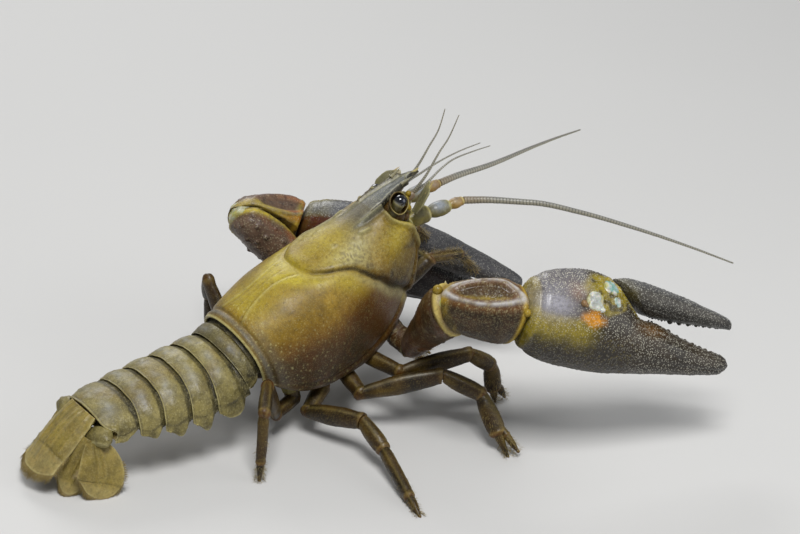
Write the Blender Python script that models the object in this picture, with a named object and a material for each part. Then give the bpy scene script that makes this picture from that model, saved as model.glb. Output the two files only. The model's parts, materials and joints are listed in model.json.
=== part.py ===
"""Signal crayfish, life size, standing on its eight walking legs with the tail fan on the floor.

Shapes are worked out in millimetres. World axes: +X is the way the animal faces, +Y is its left
and +Z is up, with the floor at Z = 0. The carapace has a frame of its own, tilted nose up by PITCH:
x runs forward from the middle of its rear margin, y to the left and z square to the back.
"""

import math

import bmesh
import bpy
import numpy as np

MM = 0.001
GAP = 0.3
UP = np.array((0.0, 0.0, 1.0))
FLOOR = ((0.0, 0.0, 0.0), (0.0, 0.0, -1.0))
LEFT = np.array((0.0, 1.0, 0.0))
SIDES = (("right", -1.0), ("left", 1.0))

# Body: the carapace from its rear margin to the tip of the rostrum, and its tilt
CARAPACE_LENGTH = 60.0
PITCH = math.radians(23.6)
REAR_MARGIN = np.array((0.0, 0.0, 31.0))
FORWARD = np.array((math.cos(PITCH), 0.0, math.sin(PITCH)))
DORSAL = np.array((-math.sin(PITCH), 0.0, math.cos(PITCH)))

# Carapace sections, as (distance forward of the rear margin, value)
HALF_WIDTH = ((0, 10.8), (5, 12.9), (12, 14.5), (20, 15.0), (30, 13.3), (38, 11.0), (46, 9.3), (51, 8.1))
TOP = ((0, -3.3), (2, -2.2), (8, -0.9), (15, 0.0), (22, -0.3), (30, 0.2), (38, 0.4), (46.5, 1.2), (51, 1.3))
WIDEST = ((0, -11.0), (10, -13.0), (25, -12.8), (40, -10.0), (51, -7.5))
LOW_EDGE = ((0, -15.5), (3, -19.6), (7, -23.4), (13, -26.6), (20, -28.2), (32, -28.7), (38, -26.6),
            (44, -21.6), (48.5, -15.2), (50.6, -9.5))
UNDER_REACH = ((0, 14.0), (7, 22.0), (20, 25.0), (32, 29.0), (42, 27.0), (51, 20.0))
CEILING = ((0, -10.0), (6, -17.5), (12, -20.0), (34, -20.0), (42, -15.5), (47, -9.5), (50.6, -6.5))
SHELL = 1.4
ORBIT_X = 46.5
CHEEK_X = 50.6
FRONT_MARGIN = ((0.0, ORBIT_X), (0.42, ORBIT_X), (0.62, 49.2), (0.85, CHEEK_X), (1.0, CHEEK_X))
CERVICAL_GROOVE = ((0.0, 20.9), (0.15, 22.0), (0.35, 27.5), (0.55, 34.0), (0.75, 39.5), (1.0, 43.0))
GROOVE_DEPTH = 0.9
GROOVE_REACH = 1.3

# Rostrum: half width and height along it, its raised edges and its side spines
ROSTRUM_HALF_WIDTH = ((46.5, 3.4), (50, 2.8), (53.5, 2.4), (55.2, 2.4), (56.0, 1.6), (58, 1.0), (60, 0.35))
ROSTRUM_TOP = ((46.5, 1.2), (51, 1.4), (55, 1.3), (58, 1.0), (60, 0.5))
ROSTRUM_THICK = 1.5
ROSTRUM_EDGE = 0.8

# Ridges behind the eyes as (x, y, depth below the back) at each end and height, then spines
HEAD_RIDGES = (
    ((37.0, 4.7, 1.2), (45.6, 5.9, 1.9), 0.9),
    ((30.0, 3.5, 0.5), (34.0, 4.3, 0.7), 0.7),
)
HEAD_SPINES = (
    ((54.6, 1.9, 1.4), (56.6, 2.6, 2.0), 0.6),
)

# Abdomen: length, slope, half width and height of each segment, and how far its side plates hang
ABDOMEN = (
    dict(length=4.3, slope=38.0, half_width=10.6, arch=8.5, lobe=1.2),
    dict(length=5.5, slope=14.0, half_width=12.0, arch=10.0, lobe=3.6),
    dict(length=6.1, slope=12.0, half_width=12.1, arch=9.5, lobe=3.6),
    dict(length=6.7, slope=11.0, half_width=11.7, arch=8.5, lobe=3.0),
    dict(length=6.5, slope=12.0, half_width=10.9, arch=7.2, lobe=2.0),
    dict(length=8.9, slope=16.0, half_width=9.6, arch=5.4, lobe=1.2),
)
ABDOMEN_START = np.array((0.9, 0.0, 27.2))
FLESH_SHARE = 0.78
SIDE_PLATE = 1.0
TELSON_LENGTH = 17.0
TELSON_SLOPE = 45.0
TAIL_NOTCH = 2.6
UROPOD_ROOT = (-34.5, 7.0, 12.9)
UROPOD_JOINT = (-36.6, 8.2, 11.2)
UROPOD_SPINES = {
    "inner": ((-38.3, 7.4, 9.6), (-40.2, 6.9, 6.4), (-41.8, 6.8, 3.2), (-43.0, 6.8, 0.3)),
    "outer": ((-36.5, 10.2, 9.0), (-36.6, 10.6, 6.2), (-37.2, 11.0, 3.2), (-38.6, 11.2, 0.3)),
}
UROPOD_ACROSS = {"inner": (-0.76, -0.65, 0.0), "outer": (-0.94, -0.33, 0.0)}
UROPOD_HALF_WIDTHS = {"inner": (1.2, 2.6, 3.2, 2.7), "outer": (1.6, 3.8, 5.0, 4.8)}

# Claw outline along its length and across to the movable finger's side, and its half thickness
HAND_RINGS = (
    ((0.3, -3.6), (0.0, 7.0), 4.4), ((1.5, -7.4), (3.0, 10.2), 6.0), ((6.9, -9.3), (9.5, 12.7), 7.0),
    ((14.9, -9.6), (15.5, 13.5), 7.2), ((21.5, -9.1), (20.6, 12.3), 6.6), ((27.0, -8.2), (28.8, 6.1), 5.5),
    ((33.5, -7.0), (34.7, 5.3), 4.9), ((41.6, -5.4), (41.0, 3.5), 4.0), ((49.0, -4.0), (48.5, 2.3), 2.9),
    ((53.6, -2.9), (54.0, 1.6), 1.7), ((56.0, -0.9), (55.9, 0.2), 0.4),
)
FINGER_RINGS = (
    ((29.7, 6.7), (21.4, 13.0), 4.6), ((31.2, 6.4), (25.5, 13.9), 5.0), ((34.5, 6.3), (32.0, 13.8), 4.7),
    ((41.0, 6.7), (40.2, 12.9), 4.0), ((49.0, 7.6), (48.6, 11.6), 2.7), ((53.2, 8.0), (53.8, 10.4), 1.6),
    ((54.9, 8.1), (55.1, 8.9), 0.4),
)
MERUS_RINGS = ((-0.1, 2.2, 2.4), (0.0, 3.0, 3.1), (0.2, 3.7, 3.7), (0.5, 4.7, 4.4), (0.8, 6.0, 4.9),
               (0.93, 5.9, 4.7), (1.03, 4.9, 4.0), (1.1, 2.6, 2.2))
CARPUS_RINGS = ((-0.26, 2.4, 2.2), (-0.12, 4.4, 3.9), (0.1, 5.9, 5.3), (0.4, 7.0, 6.2), (0.7, 7.5, 6.6),
                (0.93, 6.4, 5.6), (1.1, 4.6, 4.2), (1.3, 3.4, 3.2))

# Spines of the claw's arm: place along it, angle round it, reach from its axis, length and radius
MERUS_SPINES = ((0.97, 90.0, 4.8, 1.8, 0.9), (0.82, 95.0, 5.2, 1.1, 0.7), (0.95, -60.0, 4.4, 1.8, 0.9),
                (0.7, -70.0, 4.6, 1.3, 0.8), (0.5, -72.0, 4.0, 1.0, 0.7))
CARPUS_SPINES = ((0.72, 165.0, 5.9, 2.2, 1.2), (0.42, 158.0, 5.7, 1.1, 0.9), (0.86, -150.0, 5.2, 1.6, 1.0))

# Teeth of the claw, and the edges that they stand on
TOOTH_PLACES = (38.5, 41.0, 43.4, 45.6, 47.6, 49.4, 51.0)
TOOTH_RADIUS = 0.75
TOOTH_TAPER = 26.0
TOOTH_SINK = 0.25
FINGER_EDGES = {
    "hand": (((28.8, 6.1), (34.7, 5.3), (41.0, 3.5), (48.5, 2.3), (54.0, 1.6)), 1.0),
    "finger": (((31.2, 6.4), (34.5, 6.3), (41.0, 6.7), (49.0, 7.6), (53.2, 8.0)), -1.0),
}

# Joints of the limbs in world millimetres, taken from the pose
CLAW_ARMS = {
    "right": dict(elbow=(42.6, -30.7, 36.8), wrist=(54.0, -42.0, 37.3), tip=(102.9, -62.4, 20.6),
                  across=(0.217, 0.408, 0.888), face=1.0, scale=1.0),
    "left": dict(elbow=(26.9, 30.0, 36.4), wrist=(43.0, 30.0, 29.6), tip=(85.0, -8.0, 14.0),
                 across=(-0.27, -0.22, 0.94), face=-1.0, scale=1.03),
}
CLAW_ROOT_X = 37.0
CLAW_ROOT_Y = 5.0
CLAW_HIP = {"right": (37.5, 13.0, -32.6), "left": (34.6, 14.0, -32.6)}
LEG_ROOT_X = {2: 28.0, 3: 21.2, 4: 14.4, 5: 7.2}
LEG_ROOT_Y = 6.2
LEG_ROOT_Z = -25.4
LEG_BASIS = {5: (7.0, -28.8)}
LEG_JOINTS = {
    (2, "right"): ((40.2, -18.1, 13.6), (57.3, -22.9, 16.2), (62.8, -24.6, 12.6), (67.3, -22.9, 0.0)),
    (3, "right"): ((30.7, -15.9, 9.4), (46.8, -26.0, 14.9), (53.0, -33.1, 11.6), (53.7, -44.1, 0.0)),
    (4, "right"): ((18.3, -12.2, 6.1), (24.1, -25.6, 8.9), (24.3, -33.6, 5.6), (20.0, -53.7, 0.0)),
    (5, "right"): ((10.6, -10.0, 6.5), (4.1, -14.8, 18.3), (-1.1, -21.4, 16.0), (-2.9, -23.6, 0.0)),
    (2, "left"): ((38.6, 11.4, 8.6), (54.6, 14.6, 8.4), (60.4, 10.6, 7.4), (64.5, 2.3, 0.0)),
    (3, "left"): ((32.6, 15.6, 8.6), (42.5, 27.6, 13.6), (48.2, 33.4, 10.6), (51.4, 44.0, 0.0)),
    (4, "left"): ((23.8, 14.2, 7.2), (28.0, 27.4, 11.6), (30.4, 33.0, 8.6), (33.0, 42.0, 0.0)),
    (5, "left"): ((15.9, 14.6, 8.4), (14.3, 26.0, 24.3), (16.3, 28.0, 18.4), (15.0, 23.0, 0.0)),
}
LEG_DEPTH = {2: 1.0, 3: 1.04, 4: 1.06, 5: 0.92}
PINCERS = (2, 3)

# Head, in the carapace's frame, and the routes of the feelers in world millimetres
EYE_CENTRE = {"right": (49.9, -6.1, 1.2), "left": (50.6, 5.4, -1.8)}
EYE_RADIUS = 1.56
ANTENNA_SCALE = {
    "right": ((51.9, -7.4, -3.0), (58.6, -7.4, 1.6)),
    "left": ((51.9, 7.4, -4.2), (59.4, 7.2, -2.8)),
}
SCALE_ACROSS = (0.27, 0.8, -0.33)
ANTENNA_ROUTE = {
    "right": [(64.6, -6.4, 48.2), (70.0, -9.0, 48.2), (78.5, -15.0, 48.2), (88.4, -21.6, 46.3),
              (103.6, -28.0, 40.8), (118.0, -32.0, 34.5), (131.4, -35.0, 28.1)],
    "left": [(66.0, 4.6, 47.8), (72.0, 5.0, 48.4), (81.3, 5.6, 48.6), (94.1, 8.0, 48.6),
             (110.0, 12.0, 47.8), (120.2, 14.0, 47.3)],
}
ANTENNULE_TIPS = {
    "right": (([(53.9, -4.2, 56.0), (57.0, -4.5, 61.4), (59.4, -4.5, 64.5), (62.0, -4.5, 70.1)], 0.45),
              ([(55.6, -4.0, 54.6), (61.3, -4.0, 58.2), (67.0, -4.0, 59.2), (73.3, -4.0, 59.7)], 0.4)),
    "left": (([(55.6, 2.0, 54.6), (58.8, 1.5, 60.1), (61.2, 1.5, 63.8), (62.7, 1.5, 69.2)], 0.45),
             ([(58.0, 3.0, 52.6), (62.0, 3.0, 54.1), (69.2, 3.0, 56.0), (76.3, 3.0, 57.0)], 0.4)),
}
MAXILLIPED = {
    "right": ((43.8, -4.0, -23.2), (53.5, -5.2, -20.2), (61.3, -6.0, -24.2), (64.1, -6.0, -32.5)),
    "left": ((43.8, 4.0, -23.2), (52.2, 4.0, -17.4), (56.8, 3.4, -17.8), (58.6, 2.8, -21.6)),
}


def unit(vector):
    vector = np.asarray(vector, float)
    return vector / np.linalg.norm(vector)


def profile(knots, at):
    """A smooth curve through the knots, each an (at, value) pair."""
    places = np.array([k[0] for k in knots], float)
    values = np.array([k[1] for k in knots], float)
    steps = np.diff(values) / np.diff(places)
    slopes = np.concatenate(([steps[0]], (steps[1:] + steps[:-1]) / 2, [steps[-1]]))
    slopes[1:-1][steps[1:] * steps[:-1] <= 0] = 0
    at = np.clip(at, places[0], places[-1])
    i = np.clip(np.searchsorted(places, at) - 1, 0, len(steps) - 1)
    span = places[i + 1] - places[i]
    t = (at - places[i]) / span
    blend = t * t * (3 - 2 * t)
    rise = t * (1 - t) ** 2 * slopes[i] - t * t * (1 - t) * slopes[i + 1]
    return values[i] * (1 - blend) + values[i + 1] * blend + rise * span


def body(x, y, z):
    """A point of the carapace's frame in world millimetres."""
    return REAR_MARGIN + x * FORWARD + y * LEFT + z * DORSAL


class Solid:
    """Points and outward triangles of one closed surface."""

    def __init__(self):
        self.points = []
        self.faces = []

    def ring(self, points):
        first = len(self.points)
        self.points.extend(points)
        return list(range(first, first + len(points)))

    def bridge(self, a, b):
        count = len(a)
        for i in range(count):
            j = (i + 1) % count
            self.faces.append((a[i], a[j], b[j]))
            self.faces.append((a[i], b[j], b[i]))

    def cap(self, ring, outward):
        """Closes a ring with a fan about its middle."""
        middle = np.mean([self.points[i] for i in ring], axis=0)
        centre = len(self.points)
        self.points.append(middle)
        for i, j in zip(ring, ring[1:] + ring[:1]):
            self.faces.append((centre, i, j) if outward else (centre, j, i))


def tube(rings):
    """A closed loft through the rings, whose points run counter-clockwise seen from the far end."""
    solid = Solid()
    loops = [solid.ring(ring) for ring in rings]
    solid.cap(loops[0], False)
    for a, b in zip(loops, loops[1:]):
        solid.bridge(a, b)
    solid.cap(loops[-1], True)
    return solid


def sheet(upper, lower, kept=None):
    """A closed plate between two grids of points. Cells that kept leaves out are open ground."""
    rows, columns = upper.shape[:2]
    if kept is None:
        kept = np.ones((rows - 1, columns - 1), bool)
    solid = Solid()
    index = {}

    def at(side, i, j):
        key = (side, i, j)
        if key not in index:
            index[key] = len(solid.points)
            solid.points.append((upper if side else lower)[i, j])
        return index[key]

    def wall(a, b):
        solid.faces.append((at(1, *a), at(0, *b), at(1, *b)))
        solid.faces.append((at(1, *a), at(0, *a), at(0, *b)))

    def is_kept(i, j):
        return 0 <= i < rows - 1 and 0 <= j < columns - 1 and kept[i, j]

    for i in range(rows - 1):
        for j in range(columns - 1):
            if not kept[i, j]:
                continue
            a, b, c, d = (i, j), (i + 1, j), (i + 1, j + 1), (i, j + 1)
            solid.faces.append((at(1, *a), at(1, *b), at(1, *c)))
            solid.faces.append((at(1, *a), at(1, *c), at(1, *d)))
            solid.faces.append((at(0, *a), at(0, *c), at(0, *b)))
            solid.faces.append((at(0, *a), at(0, *d), at(0, *c)))
            if not is_kept(i, j - 1):
                wall(a, b)
            if not is_kept(i + 1, j):
                wall(b, c)
            if not is_kept(i, j + 1):
                wall(c, d)
            if not is_kept(i - 1, j):
                wall(d, a)
    return solid


def oval(centre, along, side, depth, width, count=8, plane=None, square=1.0):
    """An oval ring about a limb's axis, cut by the plane whose normal is given."""
    along = unit(along)
    across = unit(side - np.dot(side, along) * along)
    dorsal = np.cross(along, across)
    plane = along if plane is None else unit(plane)
    points = []
    for k in range(count):
        angle = 2 * math.pi * k / count
        c, s = math.cos(angle), math.sin(angle)
        reach = (abs(c) ** (2 * square) + abs(s) ** (2 * square)) ** (-0.5 / square)
        offset = across * (width * c * reach) + dorsal * (depth * s * reach)
        offset = offset - along * (np.dot(offset, plane) / np.dot(along, plane))
        points.append(centre + offset)
    return points


def spike(root, tip, radius, sides=5, sink=1.0):
    """A tapered spine whose root is sunk into what it grows from."""
    root, tip = np.asarray(root, float), np.asarray(tip, float)
    line = unit(tip - root)
    side = UP if abs(line[2]) < 0.8 else LEFT
    rings = [(root - line * sink, radius), (root + (tip - root) * 0.45, radius * 0.7), (tip, 0.15)]
    return tube([oval(centre, line, side, size, size, sides) for centre, size in rings])


def knob(centre, line, radius, sides=6):
    """A rounded tooth that stands out along a line."""
    centre, line = np.asarray(centre, float), unit(line)
    side = LEFT if abs(line[1]) < 0.8 else UP
    rings = [(-0.9, 0.9), (0.1, 1.0), (0.7, 0.7), (0.95, 0.25)]
    return tube([oval(centre + line * radius * place, line, side, radius * size, radius * size, sides)
                 for place, size in rings])


def limb(joints, shapes, side, count=8, first=None, last=None):
    """Rings along a bent limb. shapes holds, for each length, (share, half depth, half width) rows."""
    joints = [np.asarray(j, float) for j in joints]
    lines = [unit(b - a) for a, b in zip(joints, joints[1:])]
    rings = []
    for i, shape in enumerate(shapes):
        start, end = joints[i], joints[i + 1]
        for share, depth, width in shape:
            plane = lines[i]
            if share == 0 and i > 0:
                plane = lines[i - 1] + lines[i]
            if share == 0 and i == 0 and first is not None:
                plane = first
            if share == 1 and i == len(shapes) - 1 and last is not None:
                plane = last
            centre = start + (end - start) * share
            rings.append(oval(centre, lines[i], side, depth, width, count, plane))
    return rings


def straight(start, end, shape, side, count):
    """Rings square to a line. A share under 0 or over 1 runs past its ends."""
    start, end = np.asarray(start), np.asarray(end)
    return [oval(start + (end - start) * share, end - start, side, depth, width, count)
            for share, depth, width in shape]


def fold_plane(before, joint, after):
    """The normal of the flat faces where two lengths of a limb meet."""
    return unit(unit(np.subtract(joint, before)) + unit(np.subtract(after, joint)))


# Building the objects

def material(name, colour, roughness):
    made = bpy.data.materials.new(name)
    made.use_nodes = True
    shader = made.node_tree.nodes["Principled BSDF"]
    shader.inputs["Base Color"].default_value = (*colour, 1.0)
    shader.inputs["Roughness"].default_value = roughness
    return made


def start_scene():
    for old in list(bpy.data.objects):
        bpy.data.objects.remove(old)
    return {
        "shell": material("shell", (0.20, 0.12, 0.03), 0.32),
        "tail": material("tail", (0.21, 0.17, 0.08), 0.4),
        "claw": material("claw", (0.13, 0.09, 0.06), 0.35),
        "leg": material("leg", (0.22, 0.12, 0.03), 0.4),
        "soft": material("soft", (0.30, 0.22, 0.12), 0.5),
        "feeler": material("feeler", (0.24, 0.20, 0.15), 0.5),
        "eye": material("eye", (0.01, 0.012, 0.02), 0.08),
    }


def mesh_of(name, solid):
    mesh = bpy.data.meshes.new(name)
    mesh.from_pydata([tuple(p) for p in solid.points], [], solid.faces)
    mesh.validate()
    return mesh


def cut_flat(mesh, place, normal):
    """Removes what lies beyond a plane, on the side of its normal, and closes the mesh there."""
    shape = bmesh.new()
    shape.from_mesh(mesh)
    everything = shape.verts[:] + shape.edges[:] + shape.faces[:]
    cut = bmesh.ops.bisect_plane(shape, geom=everything, plane_co=tuple(place), plane_no=tuple(normal),
                                 clear_outer=True, dist=1e-5)
    rim = [e for e in cut["geom_cut"] if isinstance(e, bmesh.types.BMEdge)]
    if rim:
        bmesh.ops.holes_fill(shape, edges=rim, sides=0)
    bmesh.ops.triangulate(shape, faces=[f for f in shape.faces if len(f.verts) > 3])
    bmesh.ops.recalc_face_normals(shape, faces=shape.faces)
    shape.to_mesh(mesh)
    shape.free()


def largest_surface(mesh):
    """Keeps the largest closed surface of a mesh."""
    shape = bmesh.new()
    shape.from_mesh(mesh)
    left = set(shape.faces)
    pieces = []
    while left:
        piece, edge_of_piece = set(), [left.pop()]
        while edge_of_piece:
            face = edge_of_piece.pop()
            piece.add(face)
            for edge in face.edges:
                for other in edge.link_faces:
                    if other in left:
                        left.remove(other)
                        edge_of_piece.append(other)
        pieces.append(piece)
    keep = max(pieces, key=lambda p: sum(f.calc_area() for f in p))
    spare = [f for p in pieces if p is not keep for f in p]
    bmesh.ops.delete(shape, geom=spare, context="FACES")
    shape.to_mesh(mesh)
    shape.free()


def fused(name, solids):
    """One mesh from several closed surfaces, joined by a Boolean union."""
    if len(solids) == 1:
        return mesh_of(name, solids[0])
    group = bpy.data.collections.new(name + " pieces")
    bpy.context.scene.collection.children.link(group)
    for k, solid in enumerate(solids[1:]):
        group.objects.link(bpy.data.objects.new(f"{name} piece {k}", mesh_of(name, solid)))
    base = bpy.data.objects.new(name + " base", mesh_of(name, solids[0]))
    bpy.context.scene.collection.objects.link(base)
    union = base.modifiers.new("union", "BOOLEAN")
    union.operation = "UNION"
    union.operand_type = "COLLECTION"
    union.collection = group
    union.solver = "MANIFOLD"
    bpy.context.view_layer.update()
    graph = bpy.context.evaluated_depsgraph_get()
    mesh = bpy.data.meshes.new_from_object(base.evaluated_get(graph))
    for old in [*group.objects, base]:
        bpy.data.objects.remove(old)
    bpy.data.collections.remove(group)
    largest_surface(mesh)
    return mesh


def put(name, solids, look, root, cuts=()):
    """Adds one named object whose origin is at its root, cut flat at each plane of cuts."""
    mesh = fused(name, solids if isinstance(solids, list) else [solids])
    for place, normal in cuts:
        cut_flat(mesh, place, normal)
    made = bpy.data.objects.new(name, mesh)
    points = np.array([v.co for v in mesh.vertices])
    local = (points - root) * MM
    mesh.vertices.foreach_set("co", local.astype(np.float32).ravel())
    made.location = np.asarray(root) * MM
    mesh.materials.clear()
    mesh.materials.append(LOOKS[look])
    mesh.shade_smooth()
    mesh.set_sharp_from_angle(angle=math.radians(40))
    bpy.context.scene.collection.objects.link(made)
    return made


# Carapace

def ceiling_of(x):
    return profile(CEILING, x)


def carapace_section(x, share):
    """A point of the shell's outer surface in the carapace's frame. share runs from 0 on top to 1 below."""
    wide = profile(HALF_WIDTH, x)
    top = profile(TOP, x)
    widest = profile(WIDEST, x)
    low = profile(LOW_EDGE, x)
    under = profile(UNDER_REACH, x)
    last = math.acos(max(-0.98, min(0.98, (low - widest) / under)))
    angle = abs(share) * last
    y = wide * math.sin(angle)
    if angle < math.pi / 2:
        z = widest + (top - widest) * math.cos(angle)
    else:
        z = widest + under * math.cos(angle)
    return np.array((x, math.copysign(y, share) if share else 0.0, z))


def carapace_rows():
    """Lengthwise places of the grid: shares of the way to the groove, then on to the front margin."""
    behind = [0.0, 0.04, 0.12, 0.25, 0.4, 0.55, 0.7, 0.84]
    ahead = [0.2, 0.42, 0.62, 0.82, 1.0]
    return behind, ahead


def carapace_columns():
    """Places across the shell, closer together where the rostrum grows from it."""
    inner = [0.0, 0.09, 0.18, ROSTRUM_SHARE]
    outer = [0.36, 0.45, 0.54, 0.63, 0.72, 0.8, 0.88, 0.95, 1.0]
    half = inner + outer
    return [-s for s in reversed(half[1:])] + half


def rostrum_share():
    """How far round the front section the rostrum's edge lies."""
    shares = np.linspace(0, 0.5, 251)
    wide = [carapace_section(ORBIT_X, s)[1] for s in shares]
    return float(np.interp(ROSTRUM_HALF_WIDTH[0][1], wide, shares))


def make_carapace():
    behind, ahead = carapace_rows()
    columns = carapace_columns()
    inner_count = sum(1 for s in columns if abs(s) <= ROSTRUM_SHARE + 1e-9)
    middle = len(columns) // 2
    reach = inner_count // 2
    upper, lower = [], []

    def add_row(outside):
        outside = np.array(outside)
        inside = []
        x = outside[:, 0]
        for k, point in enumerate(outside):
            near = outside[max(k - 1, 0)] - outside[min(k + 1, len(outside) - 1)]
            inward = unit((0.0, near[2], -near[1]))
            if inward[1] * point[1] > 0 or (abs(point[1]) < 1e-6 and inward[2] > 0):
                inward = -inward
            inside.append(point + inward * SHELL)
        inside = np.array(inside)
        roof = np.array([ceiling_of(value) for value in x])
        high = inside[:, 2] > roof
        if high.any():
            first, last = np.flatnonzero(high)[[0, -1]]
            edge = abs(inside[first, 1])
            spread = np.linspace(-1, 1, last - first + 1)
            inside[first:last + 1, 1] = edge * spread
            inside[first:last + 1, 2] = roof[first:last + 1]
            inside[first:last + 1, 0] = np.minimum(inside[first:last + 1, 0], ORBIT_X)
        upper.append([body(*p) for p in outside])
        lower.append([body(*p) for p in inside])

    def groove_x(share):
        return float(profile(CERVICAL_GROOVE, abs(share)))

    def margin_x(share):
        return float(profile(FRONT_MARGIN, abs(share)))

    for step in behind:
        add_row([carapace_section(step * (groove_x(s) - GROOVE_REACH), s) for s in columns])
    for offset in (-GROOVE_REACH, 0.0, GROOVE_REACH):
        row = []
        for s in columns:
            point = carapace_section(groove_x(s) + offset, s)
            if offset == 0:
                centre = np.array((point[0], 0.0, profile(WIDEST, point[0])))
                point = point + unit(centre - point) * GROOVE_DEPTH
            row.append(point)
        add_row(row)
    for step in ahead:
        start = GROOVE_REACH
        add_row([carapace_section(groove_x(s) + start + step * (margin_x(s) - groove_x(s) - start), s)
                 for s in columns])

    rows = len(upper)
    kept = [np.ones(len(columns) - 1, bool) for _ in range(rows - 1)]
    rostrum_cells = np.zeros(len(columns) - 1, bool)
    rostrum_cells[middle - reach:middle + reach] = True
    for x in (46.9, 50.0, 53.0, 55.2, 55.9, 58.0, 60.0):
        wide = float(profile(ROSTRUM_HALF_WIDTH, x))
        top = float(profile(ROSTRUM_TOP, x))
        over, below = [], []
        for k in range(len(columns)):
            share = np.clip((k - middle) / reach, -1, 1)
            rim = ROSTRUM_EDGE * abs(share) ** 3 * min(1.0, wide / 2.5)
            thick = ROSTRUM_THICK * (1 - 0.35 * abs(share)) * min(1.0, 0.35 + wide / 3.0)
            over.append(body(x, wide * share, top + rim))
            below.append(body(x, wide * share * 0.98, top + rim - thick))
        upper.append(over)
        lower.append(below)
        kept.append(rostrum_cells)
    solid = sheet(np.array(upper), np.array(lower), np.array(kept))
    pieces = [solid]
    for _, sign in SIDES:
        for start, end, height in HEAD_RIDGES:
            low, high = (body(x, sign * y, profile(TOP, x) - drop) for x, y, drop in (start, end))
            pieces.append(spike(low, high + DORSAL * height, 0.75))
        for root, tip, radius in HEAD_SPINES:
            turn = np.array((1.0, sign, 1.0))
            pieces.append(spike(body(*np.multiply(root, turn)), body(*np.multiply(tip, turn)), radius))
    put("carapace", pieces, "shell", body(20.0, 0.0, -8.0))


# Underside of the body, with the sockets of the limbs

def stub(root, direction, side, radius, sink=4.0, out=0.9):
    """A short socket that stands out of the underside."""
    root, direction = np.asarray(root), unit(direction)
    rings = [oval(root - direction * sink, direction, side, radius, radius),
             oval(root + direction * out, direction, side, radius * 0.95, radius * 0.95)]
    return tube(rings)


def make_underside():
    stations = ((3.5, 4.6), (9, 6.4), (13, 7.0), (20, 7.6), (30, 7.6), (36, 7.0), (41, 6.2))
    upper, lower = [], []
    for x, half in stations:
        roof = min(float(ceiling_of(x + step)) for step in (-3, 0, 3)) - 0.6
        floor = LEG_ROOT_Z + 0.9 if x > 8 else roof - 4.0
        upper.append([body(x, half * s, roof) for s in np.linspace(-1, 1, 7)])
        lower.append([body(x, half * 0.92 * s, floor + 1.6 * (1 - abs(s))) for s in np.linspace(-1, 1, 7)])
    pieces = [sheet(np.array(upper), np.array(lower))]
    for _, sign in SIDES:
        for leg, x in LEG_ROOT_X.items():
            pieces.append(stub(body(x, sign * LEG_ROOT_Y, LEG_ROOT_Z), -DORSAL, FORWARD, 2.3))
        pieces.append(stub(body(CLAW_ROOT_X, sign * CLAW_ROOT_Y, LEG_ROOT_Z), -DORSAL, FORWARD, 2.4))
    put("underside", pieces, "soft", body(20.0, 0.0, -22.0))


# Head: eyes, feelers and mouth

def make_head():
    face_x = ORBIT_X + GAP + 0.2
    for name, sign in SIDES:
        root = body(face_x, sign * 4.9, -2.1)
        eye = body(*EYE_CENTRE[name])
        stalk = [oval(root, FORWARD, LEFT, 1.25, 1.25, 10),
                 oval(root + (eye - root) * 0.45, eye - root, LEFT, 1.3, 1.3, 10),
                 oval(eye - unit(eye - root) * 0.9, eye - root, LEFT, 1.35, 1.35, 10)]
        put(f"eyestalk_{name}", tube(stalk), "soft", root)
        ball = []
        for depth in (-0.6, -0.2, 0.4, 0.95, 1.35, 1.55):
            radius = math.sqrt(max(EYE_RADIUS ** 2 - depth ** 2, 0.05))
            ball.append(oval(eye + unit(eye - root) * depth, eye - root, LEFT, radius, radius, 12))
        put(f"eye_{name}", tube(ball), "eye", eye)

        peduncle = [body(face_x, sign * 2.0, -4.6), body(50.6, sign * 2.2, -3.9),
                    body(55.6, sign * 2.4, -2.5)]
        shapes = [[(0, 1.5, 1.4), (0.6, 1.4, 1.3)], [(0, 1.2, 1.2), (0.5, 1.2, 1.1), (1, 1.0, 1.0)]]
        rings = limb(peduncle, shapes, LEFT, first=FORWARD)
        pieces = [tube(rings)]
        root_of_pair = peduncle[-1]
        for tips, base in ANTENNULE_TIPS[name]:
            pieces.append(feeler([root_of_pair - FORWARD * 0.5, *tips], base, 0.28, 5))
        put(f"antennule_{name}", pieces, "feeler", peduncle[0])

        base = [body(face_x, sign * 3.7, -8.0), body(51.6, sign * 3.9, -7.0)]
        rings = limb(base, [[(0, 1.9, 1.7), (0.55, 2.2, 1.8), (1, 2.2, 2.0)]], LEFT, first=FORWARD)
        lump = tube(rings)
        line = unit(np.array(ANTENNA_ROUTE[name][0]) - base[1])
        joints = [base[1] - line * 0.8, np.array(ANTENNA_ROUTE[name][0]) - line * 0.5]
        ped = tube(limb(joints, [[(0, 1.8, 1.9), (0.3, 2.0, 2.1), (0.42, 1.6, 1.7), (0.5, 1.85, 1.9),
                                  (0.78, 1.65, 1.7), (0.82, 1.3, 1.3), (1, 1.05, 1.05)]], LEFT))
        put(f"antenna_base_{name}", [lump, ped], "soft", base[0])

        start, end = (body(*p) for p in ANTENNA_SCALE[name])
        turned = np.array(SCALE_ACROSS) * (sign * -1, 1.0, sign * -1)
        blade = leaf([start, start + (end - start) * 0.3, start + (end - start) * 0.7, end],
                     (1.5, 2.6, 2.3, 0.35), turned, 0.9, 0.5, (1.0, 0.9, 0.7, 0.45))
        outer = unit(turned) * sign * 1.2
        point = spike(start + (end - start) * 0.75 + outer, end + outer * 0.7 + (end - start) * 0.06, 0.55)
        put(f"antenna_scale_{name}", [blade, point], "soft", start)
        route = ANTENNA_ROUTE[name]
        put(f"antenna_flagellum_{name}", feeler(route, 1.0, 0.3, 6), "feeler", route[0])


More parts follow.
